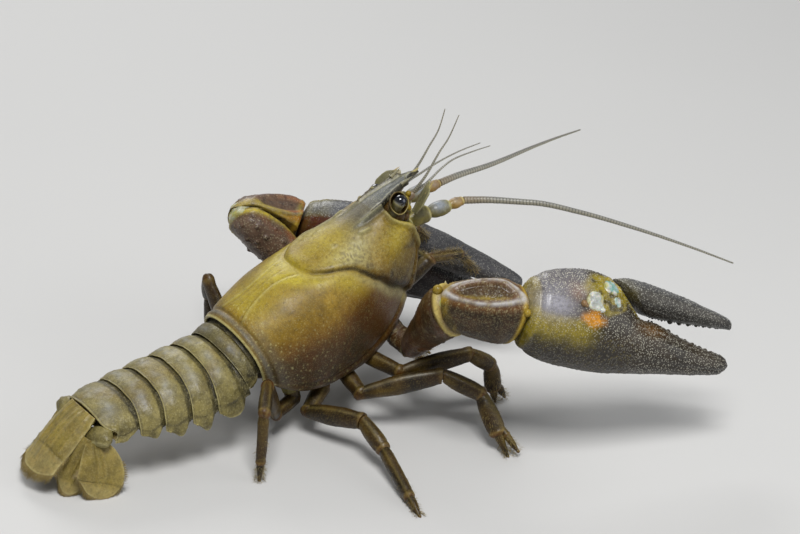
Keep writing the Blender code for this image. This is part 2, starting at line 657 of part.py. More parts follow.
def smooth_route(points, count):
    """Points along a smooth curve through a route."""
    points = [np.asarray(p, float) for p in points]
    spans = [np.linalg.norm(b - a) for a, b in zip(points, points[1:])]
    places = np.concatenate(([0], np.cumsum(spans)))
    at = np.linspace(0, places[-1], count)
    return np.array([profile(list(zip(places, [p[k] for p in points])), at) for k in range(3)]).T


def feeler(route, thick, thin, count):
    points = smooth_route(route, max(8, len(route) * 3))
    rings = []
    side = UP
    for k, point in enumerate(points):
        line = unit(points[min(k + 1, len(points) - 1)] - points[max(k - 1, 0)])
        radius = thick + (thin - thick) * k / (len(points) - 1)
        rings.append(oval(point, line, side, radius, radius, count))
    return tube(rings)


def leaf(spine, half_widths, side, camber, thick_edge, thicks, columns=5):
    """A thin plate along a spine, arched across."""
    spine = [np.asarray(p, float) for p in spine]
    rise = np.broadcast_to(camber, len(spine))
    upper, lower = [], []
    for k, centre in enumerate(spine):
        line = unit(spine[min(k + 1, len(spine) - 1)] - spine[max(k - 1, 0)])
        across = unit(side - np.dot(side, line) * line)
        normal = np.cross(line, across)
        if normal[2] < 0:
            normal = -normal
        over, below = [], []
        for share in np.linspace(-1, 1, columns):
            place = centre + across * half_widths[k] * share + normal * rise[k] * (1 - share ** 2)
            half = (thick_edge + (thicks[k] - thick_edge) * (1 - share ** 2)) / 2
            over.append(place + normal * half)
            below.append(place - normal * half)
        upper.append(over)
        lower.append(below)
    upper, lower = np.array(upper), np.array(lower)
    facing = np.cross(upper[1, 0] - upper[0, 0], upper[0, 1] - upper[0, 0])
    if np.dot(facing, upper[0, 0] - lower[0, 0]) < 0:
        upper, lower = upper[:, ::-1], lower[:, ::-1]
    return sheet(upper, lower)


def make_mouth():
    stations = ((41.8, 6.0, -16.8, -19.5), (44.5, 5.8, -14.0, -17.6), (47.4, 4.4, -11.4, -14.4))
    upper, lower = [], []
    for x, half, roof, deep in stations:
        upper.append([body(x, half * s, roof) for s in np.linspace(-1, 1, 5)])
        lower.append([body(x, half * 0.85 * s, deep - 3.0 * (1 - s * s)) for s in np.linspace(-1, 1, 5)])
    put("mouthparts", sheet(np.array(upper), np.array(lower)), "soft", body(44.0, 0.0, -17.0))
    for name, sign in SIDES:
        joints = [body(*place) for place in MAXILLIPED[name]]
        shapes = [[(0, 1.6, 1.7), (0.5, 1.9, 2.0), (0.92, 1.6, 1.7)],
                  [(0, 1.4, 1.4), (0.5, 1.5, 1.5), (0.9, 1.2, 1.2)],
                  [(0, 1.1, 1.1), (0.6, 0.9, 0.9), (1, 0.35, 0.35)]]
        put(f"maxilliped_{name}", tube(limb(joints, shapes, LEFT)), "leg", joints[0])


# Limbs

def arm_spines(start, end, side, table, sign):
    """Spines on a length of the claw's arm, one for each row of the table."""
    line = unit(np.subtract(end, start))
    across = unit(side - np.dot(side, line) * line)
    dorsal = np.cross(line, across)
    spines = []
    for share, degrees, reach, length, radius in table:
        angle = math.radians(degrees)
        out = across * math.cos(angle) + dorsal * math.sin(angle) * sign
        root = start + np.subtract(end, start) * share + out * reach
        spines.append(spike(root, root + (out + line * 0.55) * length, radius, sink=1.4))
    return spines


def make_claw_arm(name, sign):
    arm = CLAW_ARMS[name]
    elbow, wrist, tip = (np.array(arm[k]) for k in ("elbow", "wrist", "tip"))
    root = body(CLAW_ROOT_X, sign * CLAW_ROOT_Y, LEG_ROOT_Z) - DORSAL * (0.9 + GAP)
    hip_x, hip_y, hip_z = CLAW_HIP[name]
    basis = body(CLAW_ROOT_X, sign * 8.2, -31.4)
    hip = body(hip_x, sign * hip_y, hip_z)
    side = FORWARD
    half_gap = GAP / 2
    fold = fold_plane(basis, hip, elbow)
    end = hip - fold * half_gap
    put(f"cheliped_{name}_ischium",
        tube(limb([root, basis, end], [[(0, 2.3, 2.3), (0.6, 2.5, 2.5)], [(0, 2.8, 2.9), (1, 2.7, 3.1)]],
                  side, first=-DORSAL, last=fold)), "leg", root)
    bend = fold_plane(hip, elbow, wrist)
    merus = [tube(straight(hip, elbow, MERUS_RINGS, side, 10))]
    merus += arm_spines(hip, elbow, side, MERUS_SPINES, sign)
    put(f"cheliped_{name}_merus", merus, "claw", hip + fold * half_gap,
        cuts=[(hip + fold * half_gap, -fold), (elbow - bend * half_gap, bend)])
    across = np.array(arm["across"])
    along = unit(tip - wrist)
    wide = np.cross(unit(wrist - elbow), across)
    carpus = [tube(straight(elbow, wrist, CARPUS_RINGS, wide, 12))]
    carpus += arm_spines(elbow, wrist, wide, CARPUS_SPINES, arm["face"])
    put(f"cheliped_{name}_carpus", carpus, "claw", elbow + bend * half_gap,
        cuts=[(elbow + bend * half_gap, -bend), (wrist - along * half_gap, along)])
    across = unit(across - np.dot(across, along) * along)
    face = np.cross(along, across) * arm["face"]
    size = arm["scale"]
    for part, table in (("hand", HAND_RINGS), ("finger", FINGER_RINGS)):
        rings = []
        for low, high, thick in table:
            bottom = wrist + (along * (low[0] + half_gap) + across * low[1]) * size
            top = wrist + (along * (high[0] + half_gap) + across * high[1]) * size
            middle, half = (top + bottom) / 2, (top - bottom) / 2
            points = []
            for k in range(14):
                angle = 2 * math.pi * k / 14
                lift = math.sin(angle) * thick * size
                points.append(middle + half * math.cos(angle) + face * lift * (1.08 if lift > 0 else 0.92))
            rings.append(points if arm["face"] > 0 else points[::-1])
        pieces = [tube(rings)]
        edge, toward = FINGER_EDGES[part]
        for x in TOOTH_PLACES:
            w = float(profile(edge, x))
            radius = TOOTH_RADIUS * (1.25 - (x - TOOTH_PLACES[0]) / TOOTH_TAPER)
            place = wrist + (along * x + across * (w - toward * TOOTH_SINK)) * size
            pieces.append(knob(place, across * toward, radius * size))
        put(f"cheliped_{name}_{part}", pieces, "claw", wrist + along * table[0][0][0] * size)


def make_leg(number, name, sign):
    hip, knee, wrist, foot = (np.array(j) for j in LEG_JOINTS[number, name])
    size = LEG_DEPTH[number]
    root = body(LEG_ROOT_X[number], sign * LEG_ROOT_Y, LEG_ROOT_Z) - DORSAL * (0.9 + GAP)
    basis = body(LEG_ROOT_X[number] - 0.5, *LEG_BASIS.get(number, (8.2, -30.4)) * np.array((sign, 1.0)))
    side = unit(np.cross(knee - hip, UP))
    bend = fold_plane(hip, knee, wrist)
    half_gap = GAP / 2

    def sized(shape):
        return [(share, depth * size, width * size) for share, depth, width in shape]

    past = 1.5 / np.linalg.norm(knee - hip)
    upper = [[(0, 2.1, 2.1)],
             [(0, 1.9, 1.9), (0.5, 2.0, 1.8), (0.85, 1.8, 1.6)],
             [(0, 1.6, 1.5), (0.15, 2.0, 1.5), (0.5, 2.4, 1.7), (0.85, 2.1, 1.6), (1, 1.8, 1.5),
              (1 + past, 0.9, 0.8)]]
    rings = limb([root, basis, hip, knee], [sized(u) for u in upper], side, 8, first=-DORSAL)
    put(f"leg_{number}_{name}_upper", tube(rings), "leg", root, cuts=[(knee - bend * half_gap, bend)])
    line = unit(foot - wrist)
    spread = unit(np.cross(side, line))
    past = 1.5 / np.linalg.norm(wrist - knee)
    carpus = [(-past, 0.9, 0.8), (0, 1.8, 1.5), (0.3, 2.0, 1.7), (0.8, 1.9, 1.6)]
    if number in PINCERS:
        palm = wrist + (foot - wrist) * 0.62
        toe = foot - UP * 0.5
        lower = [carpus, [(0, 1.5, 1.4), (0.3, 2.1, 1.5), (0.8, 2.2, 1.5)],
                 [(0, 1.7, 1.2), (0.5, 0.8, 0.8), (1, 0.4, 0.4)]]
        thumb = [palm - line * 1.6 + spread * 0.9, palm + line * 1.2 + spread * 1.7,
                 foot + spread * 2.6 + UP * 0.3]
        toes = [[(0, 0.8, 0.8)], [(0, 0.95, 0.9), (0.6, 0.7, 0.7), (1, 0.35, 0.35)]]
        more = [tube(limb(thumb, toes, side, 6))]
    else:
        palm = wrist + (foot - wrist) * 0.72
        toe = foot - UP * 0.4
        lower = [carpus, [(0, 1.4, 1.3), (0.2, 1.7, 1.4), (0.8, 1.5, 1.3)],
                 [(0, 1.2, 1.1), (0.3, 1.1, 1.0), (1, 0.4, 0.4)]]
        more = []
    pieces = [tube(limb([knee, wrist, palm, toe], [sized(s) for s in lower], side, 8)), *more]
    put(f"leg_{number}_{name}_lower", pieces, "leg", knee + bend * half_gap,
        cuts=[(knee + bend * half_gap, -bend), FLOOR])


# Abdomen and tail fan

def slope_frame(degrees):
    """Backward and outward directions of a length of the tail that slopes down by this much."""
    angle = math.radians(degrees)
    back = np.array((-math.cos(angle), 0.0, -math.sin(angle)))
    out = np.array((-math.sin(angle), 0.0, math.cos(angle)))
    return back, out


def abdomen_places():
    """The middle of the back at the front edge of each segment, and the end of the last."""
    places = [ABDOMEN_START]
    for segment in ABDOMEN:
        back, _ = slope_frame(segment["slope"])
        places.append(places[-1] + back * segment["length"])
    return places


def make_abdomen():
    places = abdomen_places()
    last = len(ABDOMEN) - 1
    columns = [-1.0, -0.9, -0.8, -0.68, -0.54, -0.4, -0.26, -0.13, 0.0]
    columns = columns + [-s for s in columns[-2::-1]]
    for number, segment in enumerate(ABDOMEN):
        after = ABDOMEN[min(number + 1, len(ABDOMEN) - 1)]
        before = ABDOMEN[max(number - 1, 0)]
        start, end = places[number], places[number + 1]
        back, out = slope_frame(segment["slope"])
        front = DORSAL if number == 0 else unit(slope_frame(before["slope"])[1] + out)
        rear = unit(slope_frame(after["slope"])[1] + out)
        tilt = [front, unit(front + rear), rear]
        upper, lower = [], []
        for t in (0.0, 0.12, 0.35, 0.6, 0.82, 1.0):
            up = unit(tilt[1] * (1 - abs(2 * t - 1)) + (tilt[0] if t < 0.5 else tilt[2]) * abs(2 * t - 1))
            wide = segment["half_width"] + (after["half_width"] - segment["half_width"]) * max(0, t - 0.5)
            swell = 0.35 * math.sin(math.pi * t) - 0.5 * max(0.0, 1 - t / 0.12) * (number > 0)
            arch = segment["arch"]
            hang = math.sin(math.pi * min(1.0, max(0.0, (t + 0.08) / 1.1))) ** 0.8
            lobe = segment["lobe"] * (0.18 + 0.82 * hang)
            along = GAP / 2 + t * (segment["length"] - GAP)
            middle = start + back * along
            over, below = [], []
            for s in columns:
                share = abs(s)
                sign = math.copysign(1.0, s)
                if share <= 0.8:
                    angle = share / 0.8 * math.pi / 2
                    y, z = (wide + swell) * math.sin(angle), (arch + swell) * (math.cos(angle)) - arch
                    thick = SIDE_PLATE + (arch * FLESH_SHARE - SIDE_PLATE) * math.cos(angle) ** 0.5
                    yi = max(y - SIDE_PLATE, 0) if share > 0.6 else y * 0.92
                    zi = max(z - thick, -arch * FLESH_SHARE) if share < 0.6 else min(z, -arch * FLESH_SHARE)
                    if share >= 0.6:
                        zi = -arch * FLESH_SHARE if share < 0.75 else z
                else:
                    drop = (share - 0.8) / 0.2
                    y, z = wide + swell - 0.7 * drop ** 2, -arch - lobe * drop
                    yi, zi = y - SIDE_PLATE * (1 - 0.4 * drop), z + 0.1
                notch = TAIL_NOTCH * t * t * math.exp(-((share - 0.68) / 0.17) ** 2) * (number == last)
                over.append(middle - back * notch + LEFT * sign * y + up * z)
                below.append(middle - back * notch + LEFT * sign * yi + up * zi)
            upper.append(over)
            lower.append(below)
        upper, lower = np.array(upper)[:, ::-1], np.array(lower)[:, ::-1]
        pieces = [sheet(upper, lower)]
        if 0 < number < 5:
            pieces += swimmerets((start + end) / 2, back, out, segment["arch"], segment["half_width"])
        put(f"abdomen_{number + 1}", pieces, "tail", start - out * 6.0)


def make_tail_fan():
    end = abdomen_places()[-1]
    back, out = slope_frame(TELSON_SLOPE)
    start = end + back * (GAP + 1.2) - out * 0.5
    spine = [start + back * TELSON_LENGTH * t for t in (0.0, 0.12, 0.4, 0.62, 0.85, 0.96)]
    notch = spine[3] - out * 0.2
    points = [spike(notch + LEFT * sign * 4.8, notch + LEFT * sign * 6.1 + back * 1.2 + out * 0.3, 0.6)
              for _, sign in SIDES]
    rise = (0.2, 0.7, 1.3, 1.4, 1.2, 0.9)
    plate = leaf(spine, (4.4, 4.9, 5.3, 5.8, 6.0, 4.6), LEFT, rise, 1.0, (2.0, 2.2, 2.0, 1.7, 1.3, 1.0), 7)
    put("telson", [plate, *points], "tail", start, cuts=[FLOOR])
    for name, sign in SIDES:
        turn = np.array((1.0, sign, 1.0))
        root, joint = np.array(UROPOD_ROOT) * turn, np.array(UROPOD_JOINT) * turn
        stem = straight(root, joint, ((0, 1.5, 2.0), (0.5, 1.8, 2.6), (1, 1.4, 2.2)), LEFT, 8)
        put(f"uropod_{name}_base", tube(stem), "tail", root)
        for plate in ("inner", "outer"):
            spine = [np.array(p) * turn for p in UROPOD_SPINES[plate]]
            across = np.array(UROPOD_ACROSS[plate]) * turn
            blade = leaf(spine, UROPOD_HALF_WIDTHS[plate], across, 0.5, 0.7, (1.2, 1.2, 1.0, 0.8))
            put(f"uropod_{name}_{plate}", blade, "tail", spine[0], cuts=[FLOOR])


def swimmerets(middle, back, out, arch, half):
    """A pair of small flaps that hang under a segment."""
    flaps = []
    shape = ((0, 0.8, 1.3), (0.4, 0.6, 1.2), (0.75, 0.5, 1.5), (1, 0.3, 0.6))
    for _, sign in SIDES:
        top = middle - out * (arch * FLESH_SHARE - 1.5) + LEFT * sign * half * 0.45
        drop = -out * 6.2 + back * 2.2 + LEFT * sign * 0.6
        flaps.append(tube(straight(top, top + drop, shape, LEFT, 6)))
    return flaps


def centre_on_floor():
    """Moves the whole animal so that the origin is on the floor under the middle of its box."""
    bpy.context.view_layer.update()
    corners = [np.array(o.matrix_world @ v.co) for o in bpy.context.scene.objects for v in o.data.vertices]
    low, high = np.min(corners, axis=0), np.max(corners, axis=0)
    stand = bpy.data.objects.new("crayfish", None)
    bpy.context.scene.collection.objects.link(stand)
    for made in list(bpy.context.scene.objects):
        if made is not stand:
            made.parent = stand
    stand.location = (-(low[0] + high[0]) / 2, -(low[1] + high[1]) / 2, -low[2])
    bpy.context.view_layer.update()


LOOKS = start_scene()
ROSTRUM_SHARE = rostrum_share()
make_carapace()
make_underside()
make_head()
make_mouth()
for side_name, side_sign in SIDES:
    make_claw_arm(side_name, side_sign)
    for leg_number in LEG_ROOT_X:
        make_leg(leg_number, side_name, side_sign)
make_abdomen()
make_tail_fan()
centre_on_floor()
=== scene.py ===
"""Looks of the signal crayfish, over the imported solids.

Shapes are worked out in millimetres in the animal's own frame, the one that its solids were made in:
+X ahead, +Y its left, +Z up, the floor at Z = 0 and the origin below the middle of the carapace's
rear margin. PLACE moves that frame to the row's.
"""

import itertools
import json
import math

import bpy
import numpy as np
from mathutils import Matrix

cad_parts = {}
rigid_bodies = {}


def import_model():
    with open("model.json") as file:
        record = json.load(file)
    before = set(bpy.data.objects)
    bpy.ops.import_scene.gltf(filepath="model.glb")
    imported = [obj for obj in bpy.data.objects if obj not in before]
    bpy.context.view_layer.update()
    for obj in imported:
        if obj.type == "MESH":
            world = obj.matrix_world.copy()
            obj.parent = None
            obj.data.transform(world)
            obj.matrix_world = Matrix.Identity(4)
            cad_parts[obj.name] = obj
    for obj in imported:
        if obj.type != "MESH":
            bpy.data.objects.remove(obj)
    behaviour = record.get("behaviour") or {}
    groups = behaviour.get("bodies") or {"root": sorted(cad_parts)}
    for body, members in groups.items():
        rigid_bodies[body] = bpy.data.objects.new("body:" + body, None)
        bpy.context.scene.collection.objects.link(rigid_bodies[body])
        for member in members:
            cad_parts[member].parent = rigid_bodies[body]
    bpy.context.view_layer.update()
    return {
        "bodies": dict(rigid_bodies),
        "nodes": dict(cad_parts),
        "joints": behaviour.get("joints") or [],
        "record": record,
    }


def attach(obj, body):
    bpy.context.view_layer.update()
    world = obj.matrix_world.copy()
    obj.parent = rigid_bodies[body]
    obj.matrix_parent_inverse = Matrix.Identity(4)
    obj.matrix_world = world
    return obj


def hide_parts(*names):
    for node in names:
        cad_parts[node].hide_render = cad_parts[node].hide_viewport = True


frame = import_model()

MM = 0.001
PLACE = np.array((-41.503, 9.046, 0.0))
UP = np.array((0.0, 0.0, 1.0))
LEFT = np.array((0.0, 1.0, 0.0))
SIDES = (("right", -1.0), ("left", 1.0))

# The photograph's camera: turn, tilt and roll in degrees, focal length in pixels and place in millimetres
CAMERA_TURN = -40.0
CAMERA_TILT = 27.0
CAMERA_ROLL = -5.5
PHOTO_WIDTH = 800
FOCAL_PIXELS = 2273.9
SENSOR_MM = 36.0
CAMERA_PLACE = np.array((-261.9, -374.4, 279.3))

# The studio, in metres and watts. A lamp has its name, place, size and power
FLOOR_REACH = 6.0
WORLD_STRENGTH = 0.26
LAMPS = (("key", (-0.2, -0.25, 0.75), 0.3, 5.6), ("fill", (0.55, -0.6, 0.35), 0.6, 1.8),
         ("rim", (0.2, 0.7, 0.5), 0.4, 2.8))

# Carapace
PITCH = math.radians(23.6)
REAR_MARGIN = np.array((0.0, 0.0, 31.0))
FORWARD = np.array((math.cos(PITCH), 0.0, math.sin(PITCH)))
DORSAL = np.array((-math.sin(PITCH), 0.0, math.cos(PITCH)))
HALF_WIDTH = ((0, 10.8), (5, 12.9), (12, 14.5), (20, 15.0), (30, 13.3), (38, 11.0), (46, 9.3), (51, 8.1))
TOP = ((0, -3.3), (2, -2.2), (8, -0.9), (15, 0.0), (22, -0.3), (30, 0.2), (38, 0.4), (46.5, 1.2), (51, 1.3))
WIDEST = ((0, -11.0), (10, -13.0), (25, -12.8), (40, -10.0), (51, -7.5))
LOW_EDGE = ((0, -15.5), (3, -19.6), (7, -23.4), (13, -26.6), (20, -28.2), (32, -28.7), (38, -26.6),
            (44, -21.6), (48.5, -15.2), (50.6, -9.5))
UNDER_REACH = ((0, 14.0), (7, 22.0), (20, 25.0), (32, 29.0), (42, 27.0), (51, 20.0))
ORBIT_X = 46.5
FACE_X = ORBIT_X + 0.5
FRONT_MARGIN = (
    (0.0, 46.5), (0.34, 46.5), (0.44, 47.2), (0.54, 48.4), (0.68, 49.8), (0.85, 50.6), (1.0, 50.6))
CERVICAL_GROOVE = (
    (0.0, 20.9), (0.15, 22.0), (0.25, 25.0), (0.32, 28.1), (0.4, 31.0), (0.47, 32.3), (0.6, 34.4),
    (0.7, 36.1), (0.8, 38.6), (0.9, 42.0), (1.0, 43.5))
AREOLA_LINE = ((0, 4.6), (6, 2.6), (12, 1.9), (17, 2.5), (22, 4.2))
ROSTRUM_HALF_WIDTH = ((46.5, 3.4), (50, 2.8), (53.5, 2.4), (55.2, 2.4), (56.0, 1.6), (58, 1.0), (60, 0.35))
ROSTRUM_TOP = ((46.5, 1.2), (51, 1.4), (55, 1.3), (58, 1.0), (60, 0.5))

# Abdomen
ABDOMEN = (
    dict(length=4.3, slope=38.0, half_width=10.6, arch=8.5, lobe=1.2),
    dict(length=5.5, slope=14.0, half_width=12.0, arch=10.0, lobe=3.6),
    dict(length=6.1, slope=12.0, half_width=12.1, arch=9.5, lobe=3.6),
    dict(length=6.7, slope=11.0, half_width=11.7, arch=8.5, lobe=3.0),
    dict(length=6.5, slope=12.0, half_width=10.9, arch=7.2, lobe=2.0),
    dict(length=8.9, slope=16.0, half_width=9.6, arch=5.4, lobe=1.2),
)
ABDOMEN_START = np.array((0.9, 0.0, 27.2))
LOBE_SWEEP = (0.0, 1.5, 2.0, 2.0, 1.6, 0.5)
TELSON_LENGTH = 17.0
TELSON_SLOPE = 45.0
TAIL_NOTCH = 2.6
UROPOD_ROOT = (-34.5, 7.0, 12.9)
UROPOD_JOINT = (-36.6, 8.2, 11.2)
UROPOD_SPINES = {
    "inner": ((-38.3, 7.4, 9.6), (-40.2, 6.9, 6.4), (-41.8, 6.8, 3.2), (-43.0, 6.8, 0.3)),
    "outer": ((-36.5, 10.2, 9.0), (-36.6, 10.6, 6.2), (-37.2, 11.0, 3.2), (-38.6, 11.2, 0.3)),
}
UROPOD_ACROSS = {"inner": (-0.76, -0.65, 0.0), "outer": (-0.94, -0.33, 0.0)}
UROPOD_HALF_WIDTHS = {"inner": (1.2, 2.6, 3.2, 2.7), "outer": (1.6, 3.8, 5.0, 4.8)}

# Claws: outline along the length and across to the movable finger's side, and half thickness
HAND_RINGS = (
    ((0.3, -3.6), (0.0, 7.0), 4.4), ((1.5, -7.4), (3.0, 10.2), 6.0), ((6.9, -9.3), (9.5, 12.7), 7.0),
    ((14.9, -9.6), (15.5, 13.5), 7.2), ((21.5, -9.1), (20.6, 12.3), 6.6), ((27.0, -8.2), (28.8, 6.1), 5.5),
    ((33.5, -7.0), (34.7, 5.3), 4.9), ((41.6, -5.4), (41.0, 3.5), 4.0), ((49.0, -4.0), (48.5, 2.3), 2.9),
    ((53.6, -2.9), (54.0, 1.6), 1.7), ((56.0, -0.9), (55.9, 0.2), 0.4),
)
FINGER_RINGS = (
    ((29.7, 6.7), (21.4, 13.0), 4.6), ((31.2, 6.4), (25.5, 13.9), 5.0), ((34.5, 6.3), (32.0, 13.8), 4.7),
    ((41.0, 6.7), (40.2, 12.9), 4.0), ((49.0, 7.6), (48.6, 11.6), 2.7), ((53.2, 8.0), (53.8, 10.4), 1.6),
    ((54.9, 8.1), (55.1, 8.9), 0.4),
)
CLAW_ARMS = {
    "right": dict(
        elbow=(42.6, -30.7, 36.8), wrist=(54.0, -42.0, 37.3), tip=(102.9, -62.4, 20.6),
        across=(0.217, 0.408, 0.888), face=1.0, scale=1.0),
    "left": dict(
        elbow=(26.9, 30.0, 36.4), wrist=(43.0, 30.0, 29.6), tip=(85.0, -8.0, 14.0),
        across=(-0.27, -0.22, 0.94), face=-1.0, scale=1.03)}
CLAW_ROOT_X = 37.0
CLAW_ROOT_Y = 5.0
CLAW_HIP = {"right": (37.5, 13.0, -32.6), "left": (34.6, 14.0, -32.6)}
LEG_ROOT_X = {2: 28.0, 3: 21.2, 4: 14.4, 5: 7.2}
LEG_ROOT_Y = 6.2
LEG_ROOT_Z = -25.4
ROOT_DEPTH = 1.2
CLAW_BASIS = (8.2, -31.4)
HALF_GAP = 0.15
LEG_JOINTS = {
    (2, "right"): ((40.2, -18.1, 13.6), (57.3, -22.9, 16.2), (62.8, -24.6, 12.6), (67.3, -22.9, 0.0)),
    (3, "right"): ((30.7, -15.9, 9.4), (46.8, -26.0, 14.9), (53.0, -33.1, 11.6), (53.7, -44.1, 0.0)),
    (4, "right"): ((18.3, -12.2, 6.1), (24.1, -25.6, 8.9), (24.3, -33.6, 5.6), (20.0, -53.7, 0.0)),
    (5, "right"): ((10.6, -10.0, 6.5), (4.1, -14.8, 18.3), (-1.1, -21.4, 16.0), (-2.9, -23.6, 0.0)),
    (2, "left"): ((38.6, 11.4, 8.6), (54.6, 14.6, 8.4), (60.4, 10.6, 7.4), (64.5, 2.3, 0.0)),
    (3, "left"): ((32.6, 15.6, 8.6), (42.5, 27.6, 13.6), (48.2, 33.4, 10.6), (51.4, 44.0, 0.0)),
    (4, "left"): ((23.8, 14.2, 7.2), (28.0, 27.4, 11.6), (30.4, 33.0, 8.6), (33.0, 42.0, 0.0)),
    (5, "left"): ((15.9, 14.6, 8.4), (14.3, 26.0, 24.3), (16.3, 28.0, 18.4), (15.0, 23.0, 0.0)),
}
LEG_BASIS = {2: (8.2, -30.4), 3: (8.2, -30.4), 4: (8.2, -30.4), 5: (7.0, -28.8)}
MERUS_RINGS = (
    (-0.1, 2.2, 2.4), (0.0, 3.0, 3.1), (0.2, 3.7, 3.7), (0.5, 4.7, 4.4), (0.8, 6.0, 4.9), (0.93, 5.9, 4.7),
    (1.03, 4.9, 4.0), (1.1, 2.6, 2.2))
CARPUS_RINGS = (
    (-0.26, 2.4, 2.2), (-0.12, 4.4, 3.9), (0.1, 5.9, 5.3), (0.4, 7.0, 6.2), (0.7, 7.5, 6.6),
    (0.93, 6.4, 5.6), (1.1, 4.6, 4.2), (1.3, 3.4, 3.2))
MERUS_SPINES = (
    (0.97, 90.0, 4.8, 1.8, 0.9), (0.82, 95.0, 5.2, 1.1, 0.7), (0.95, -60.0, 4.4, 1.8, 0.9),
    (0.7, -70.0, 4.6, 1.3, 0.8), (0.5, -72.0, 4.0, 1.0, 0.7))
CARPUS_SPINES = ((0.72, 165.0, 5.9, 2.2, 1.2), (0.42, 158.0, 5.7, 1.1, 0.9), (0.86, -150.0, 5.2, 1.6, 1.0))
TOOTH_PLACES = (38.5, 41.0, 43.4, 45.6, 47.6, 49.4, 51.0)
TOOTH_RADIUS = 0.75
FINGER_EDGES = {
    "hand": (((28.8, 6.1), (34.7, 5.3), (41.0, 3.5), (48.5, 2.3), (54.0, 1.6)), 1.0),
    "finger": (((31.2, 6.4), (34.5, 6.3), (41.0, 6.7), (49.0, 7.6), (53.2, 8.0)), -1.0),
}
LEG_DEPTH = {2: 1.0, 3: 1.04, 4: 1.06, 5: 0.92}
PINCERS = (2, 3)

CARPUS_GROOVE = {"right": (320.0, 27.0), "left": (275.0, 27.0)}

# Head
EYE_CENTRE = {"right": (49.9, -6.1, 1.2), "left": (50.6, 5.4, -1.8)}
EYE_RADIUS = 1.56
ANTENNA_SCALE = {
    "right": ((51.9, -7.4, -3.0), (58.6, -7.4, 1.6)),
    "left": ((51.9, 7.4, -4.2), (59.4, 7.2, -2.8)),
}
SCALE_ACROSS = (0.27, 0.8, -0.33)
ANTENNA_ROUTE = {
    "right": (
        (64.6, -6.4, 48.2), (70.0, -9.0, 48.2), (78.5, -15.0, 48.2), (88.4, -21.6, 46.3),
        (103.6, -28.0, 40.8), (118.0, -32.0, 34.5), (131.4, -35.0, 28.1)),
    "left": (
        (66.0, 4.6, 47.8), (72.0, 5.0, 48.4), (81.3, 5.6, 48.6), (94.1, 8.0, 48.6), (110.0, 12.0, 47.8),
        (120.2, 14.0, 47.3))}
MAXILLIPED = {
    "right": ((43.8, -4.0, -23.2), (53.5, -5.2, -20.2), (61.3, -6.0, -24.2), (64.1, -6.0, -32.5)),
    "left": ((43.8, 4.0, -23.2), (52.2, 4.0, -17.4), (56.8, 3.4, -17.8), (58.6, 2.8, -21.6)),
}
ANTENNULE_TIPS = {
    "right": (
        (((53.9, -4.2, 56.0), (57.0, -4.5, 61.4), (59.4, -4.5, 64.5), (62.0, -4.5, 70.1)), 0.45),
        (((55.6, -4.0, 54.6), (61.3, -4.0, 58.2), (67.0, -4.0, 59.2), (73.3, -4.0, 59.7)), 0.4)),
    "left": (
        (((55.6, 2.0, 54.6), (58.8, 1.5, 60.1), (61.2, 1.5, 63.8), (62.7, 1.5, 69.2)), 0.45),
        (((58.0, 3.0, 52.6), (62.0, 3.0, 54.1), (69.2, 3.0, 56.0), (76.3, 3.0, 57.0)), 0.4))}


# Numbers

def unit(vector):
    vector = np.asarray(vector, float)
    return vector / np.linalg.norm(vector)


def profile(knots, at):
    """A smooth curve through the knots, each an (at, value) pair."""
    places = np.array([k[0] for k in knots], float)
    values = np.array([k[1] for k in knots], float)
    steps = np.diff(values) / np.diff(places)
    slopes = np.concatenate(([steps[0]], (steps[1:] + steps[:-1]) / 2, [steps[-1]]))
    slopes[1:-1][steps[1:] * steps[:-1] <= 0] = 0
    at = np.clip(at, places[0], places[-1])
    i = np.clip(np.searchsorted(places, at) - 1, 0, len(steps) - 1)
    span = places[i + 1] - places[i]
    t = (at - places[i]) / span
    blend = t * t * (3 - 2 * t)
    rise = t * (1 - t) ** 2 * slopes[i] - t * t * (1 - t) * slopes[i + 1]
    return values[i] * (1 - blend) + values[i + 1] * blend + rise * span


def ease(low, high, value):
    """0 below low, 1 above high, and smooth between."""
    t = np.clip((np.asarray(value, float) - low) / (high - low), 0, 1)
    return t * t * (3 - 2 * t)


def bell(distance, width):
    return np.exp(-(distance / width) ** 2)


def scatter(cell, seed):
    """Even random numbers from 0 to 1, one for each whole-number cell."""
    n = cell[..., 0] * 73856093 ^ cell[..., 1] * 19349663 ^ cell[..., 2] * 83492791 ^ (seed * 40503 + 977)
    n = ((n ^ (n >> 13)) * 1274126177) & 0xFFFFFFFF
    n = ((n ^ (n >> 15)) * 668265263) & 0xFFFFFFFF
    n = (n ^ (n >> 16)) & 0xFFFFFFFF
    return n / 4294967295.0


def waves(points, size, seed):
    """Smooth noise between -1 and 1."""
    cells = points / size
    base = np.floor(cells).astype(np.int64)
    t = cells - base
    t = t * t * (3 - 2 * t)
    total = 0.0
    for corner in itertools.product((0, 1), repeat=3):
        weight = 1.0
        for axis in range(3):
            weight = weight * (t[..., axis] if corner[axis] else 1 - t[..., axis])
        total = total + weight * scatter(base + np.array(corner), seed)
    return total * 2 - 1


def grains(points, spacing, seed):
    """Distance to the nearest of scattered centres, in spacings, and a random number for that centre."""
    cells = points / spacing
    base = np.floor(cells).astype(np.int64)
    nearest = np.full(points.shape[:-1], 9.0)
    tag = np.zeros(points.shape[:-1])
    for step in itertools.product((-1, 0, 1), repeat=3):
        cell = base + np.array(step)
        centre = cell + np.stack([scatter(cell, seed + k) for k in range(3)], axis=-1)
        distance = np.linalg.norm(cells - centre, axis=-1)
        closer = distance < nearest
        nearest = np.where(closer, distance, nearest)
        tag = np.where(closer, scatter(cell, seed + 5), tag)
    return nearest, tag


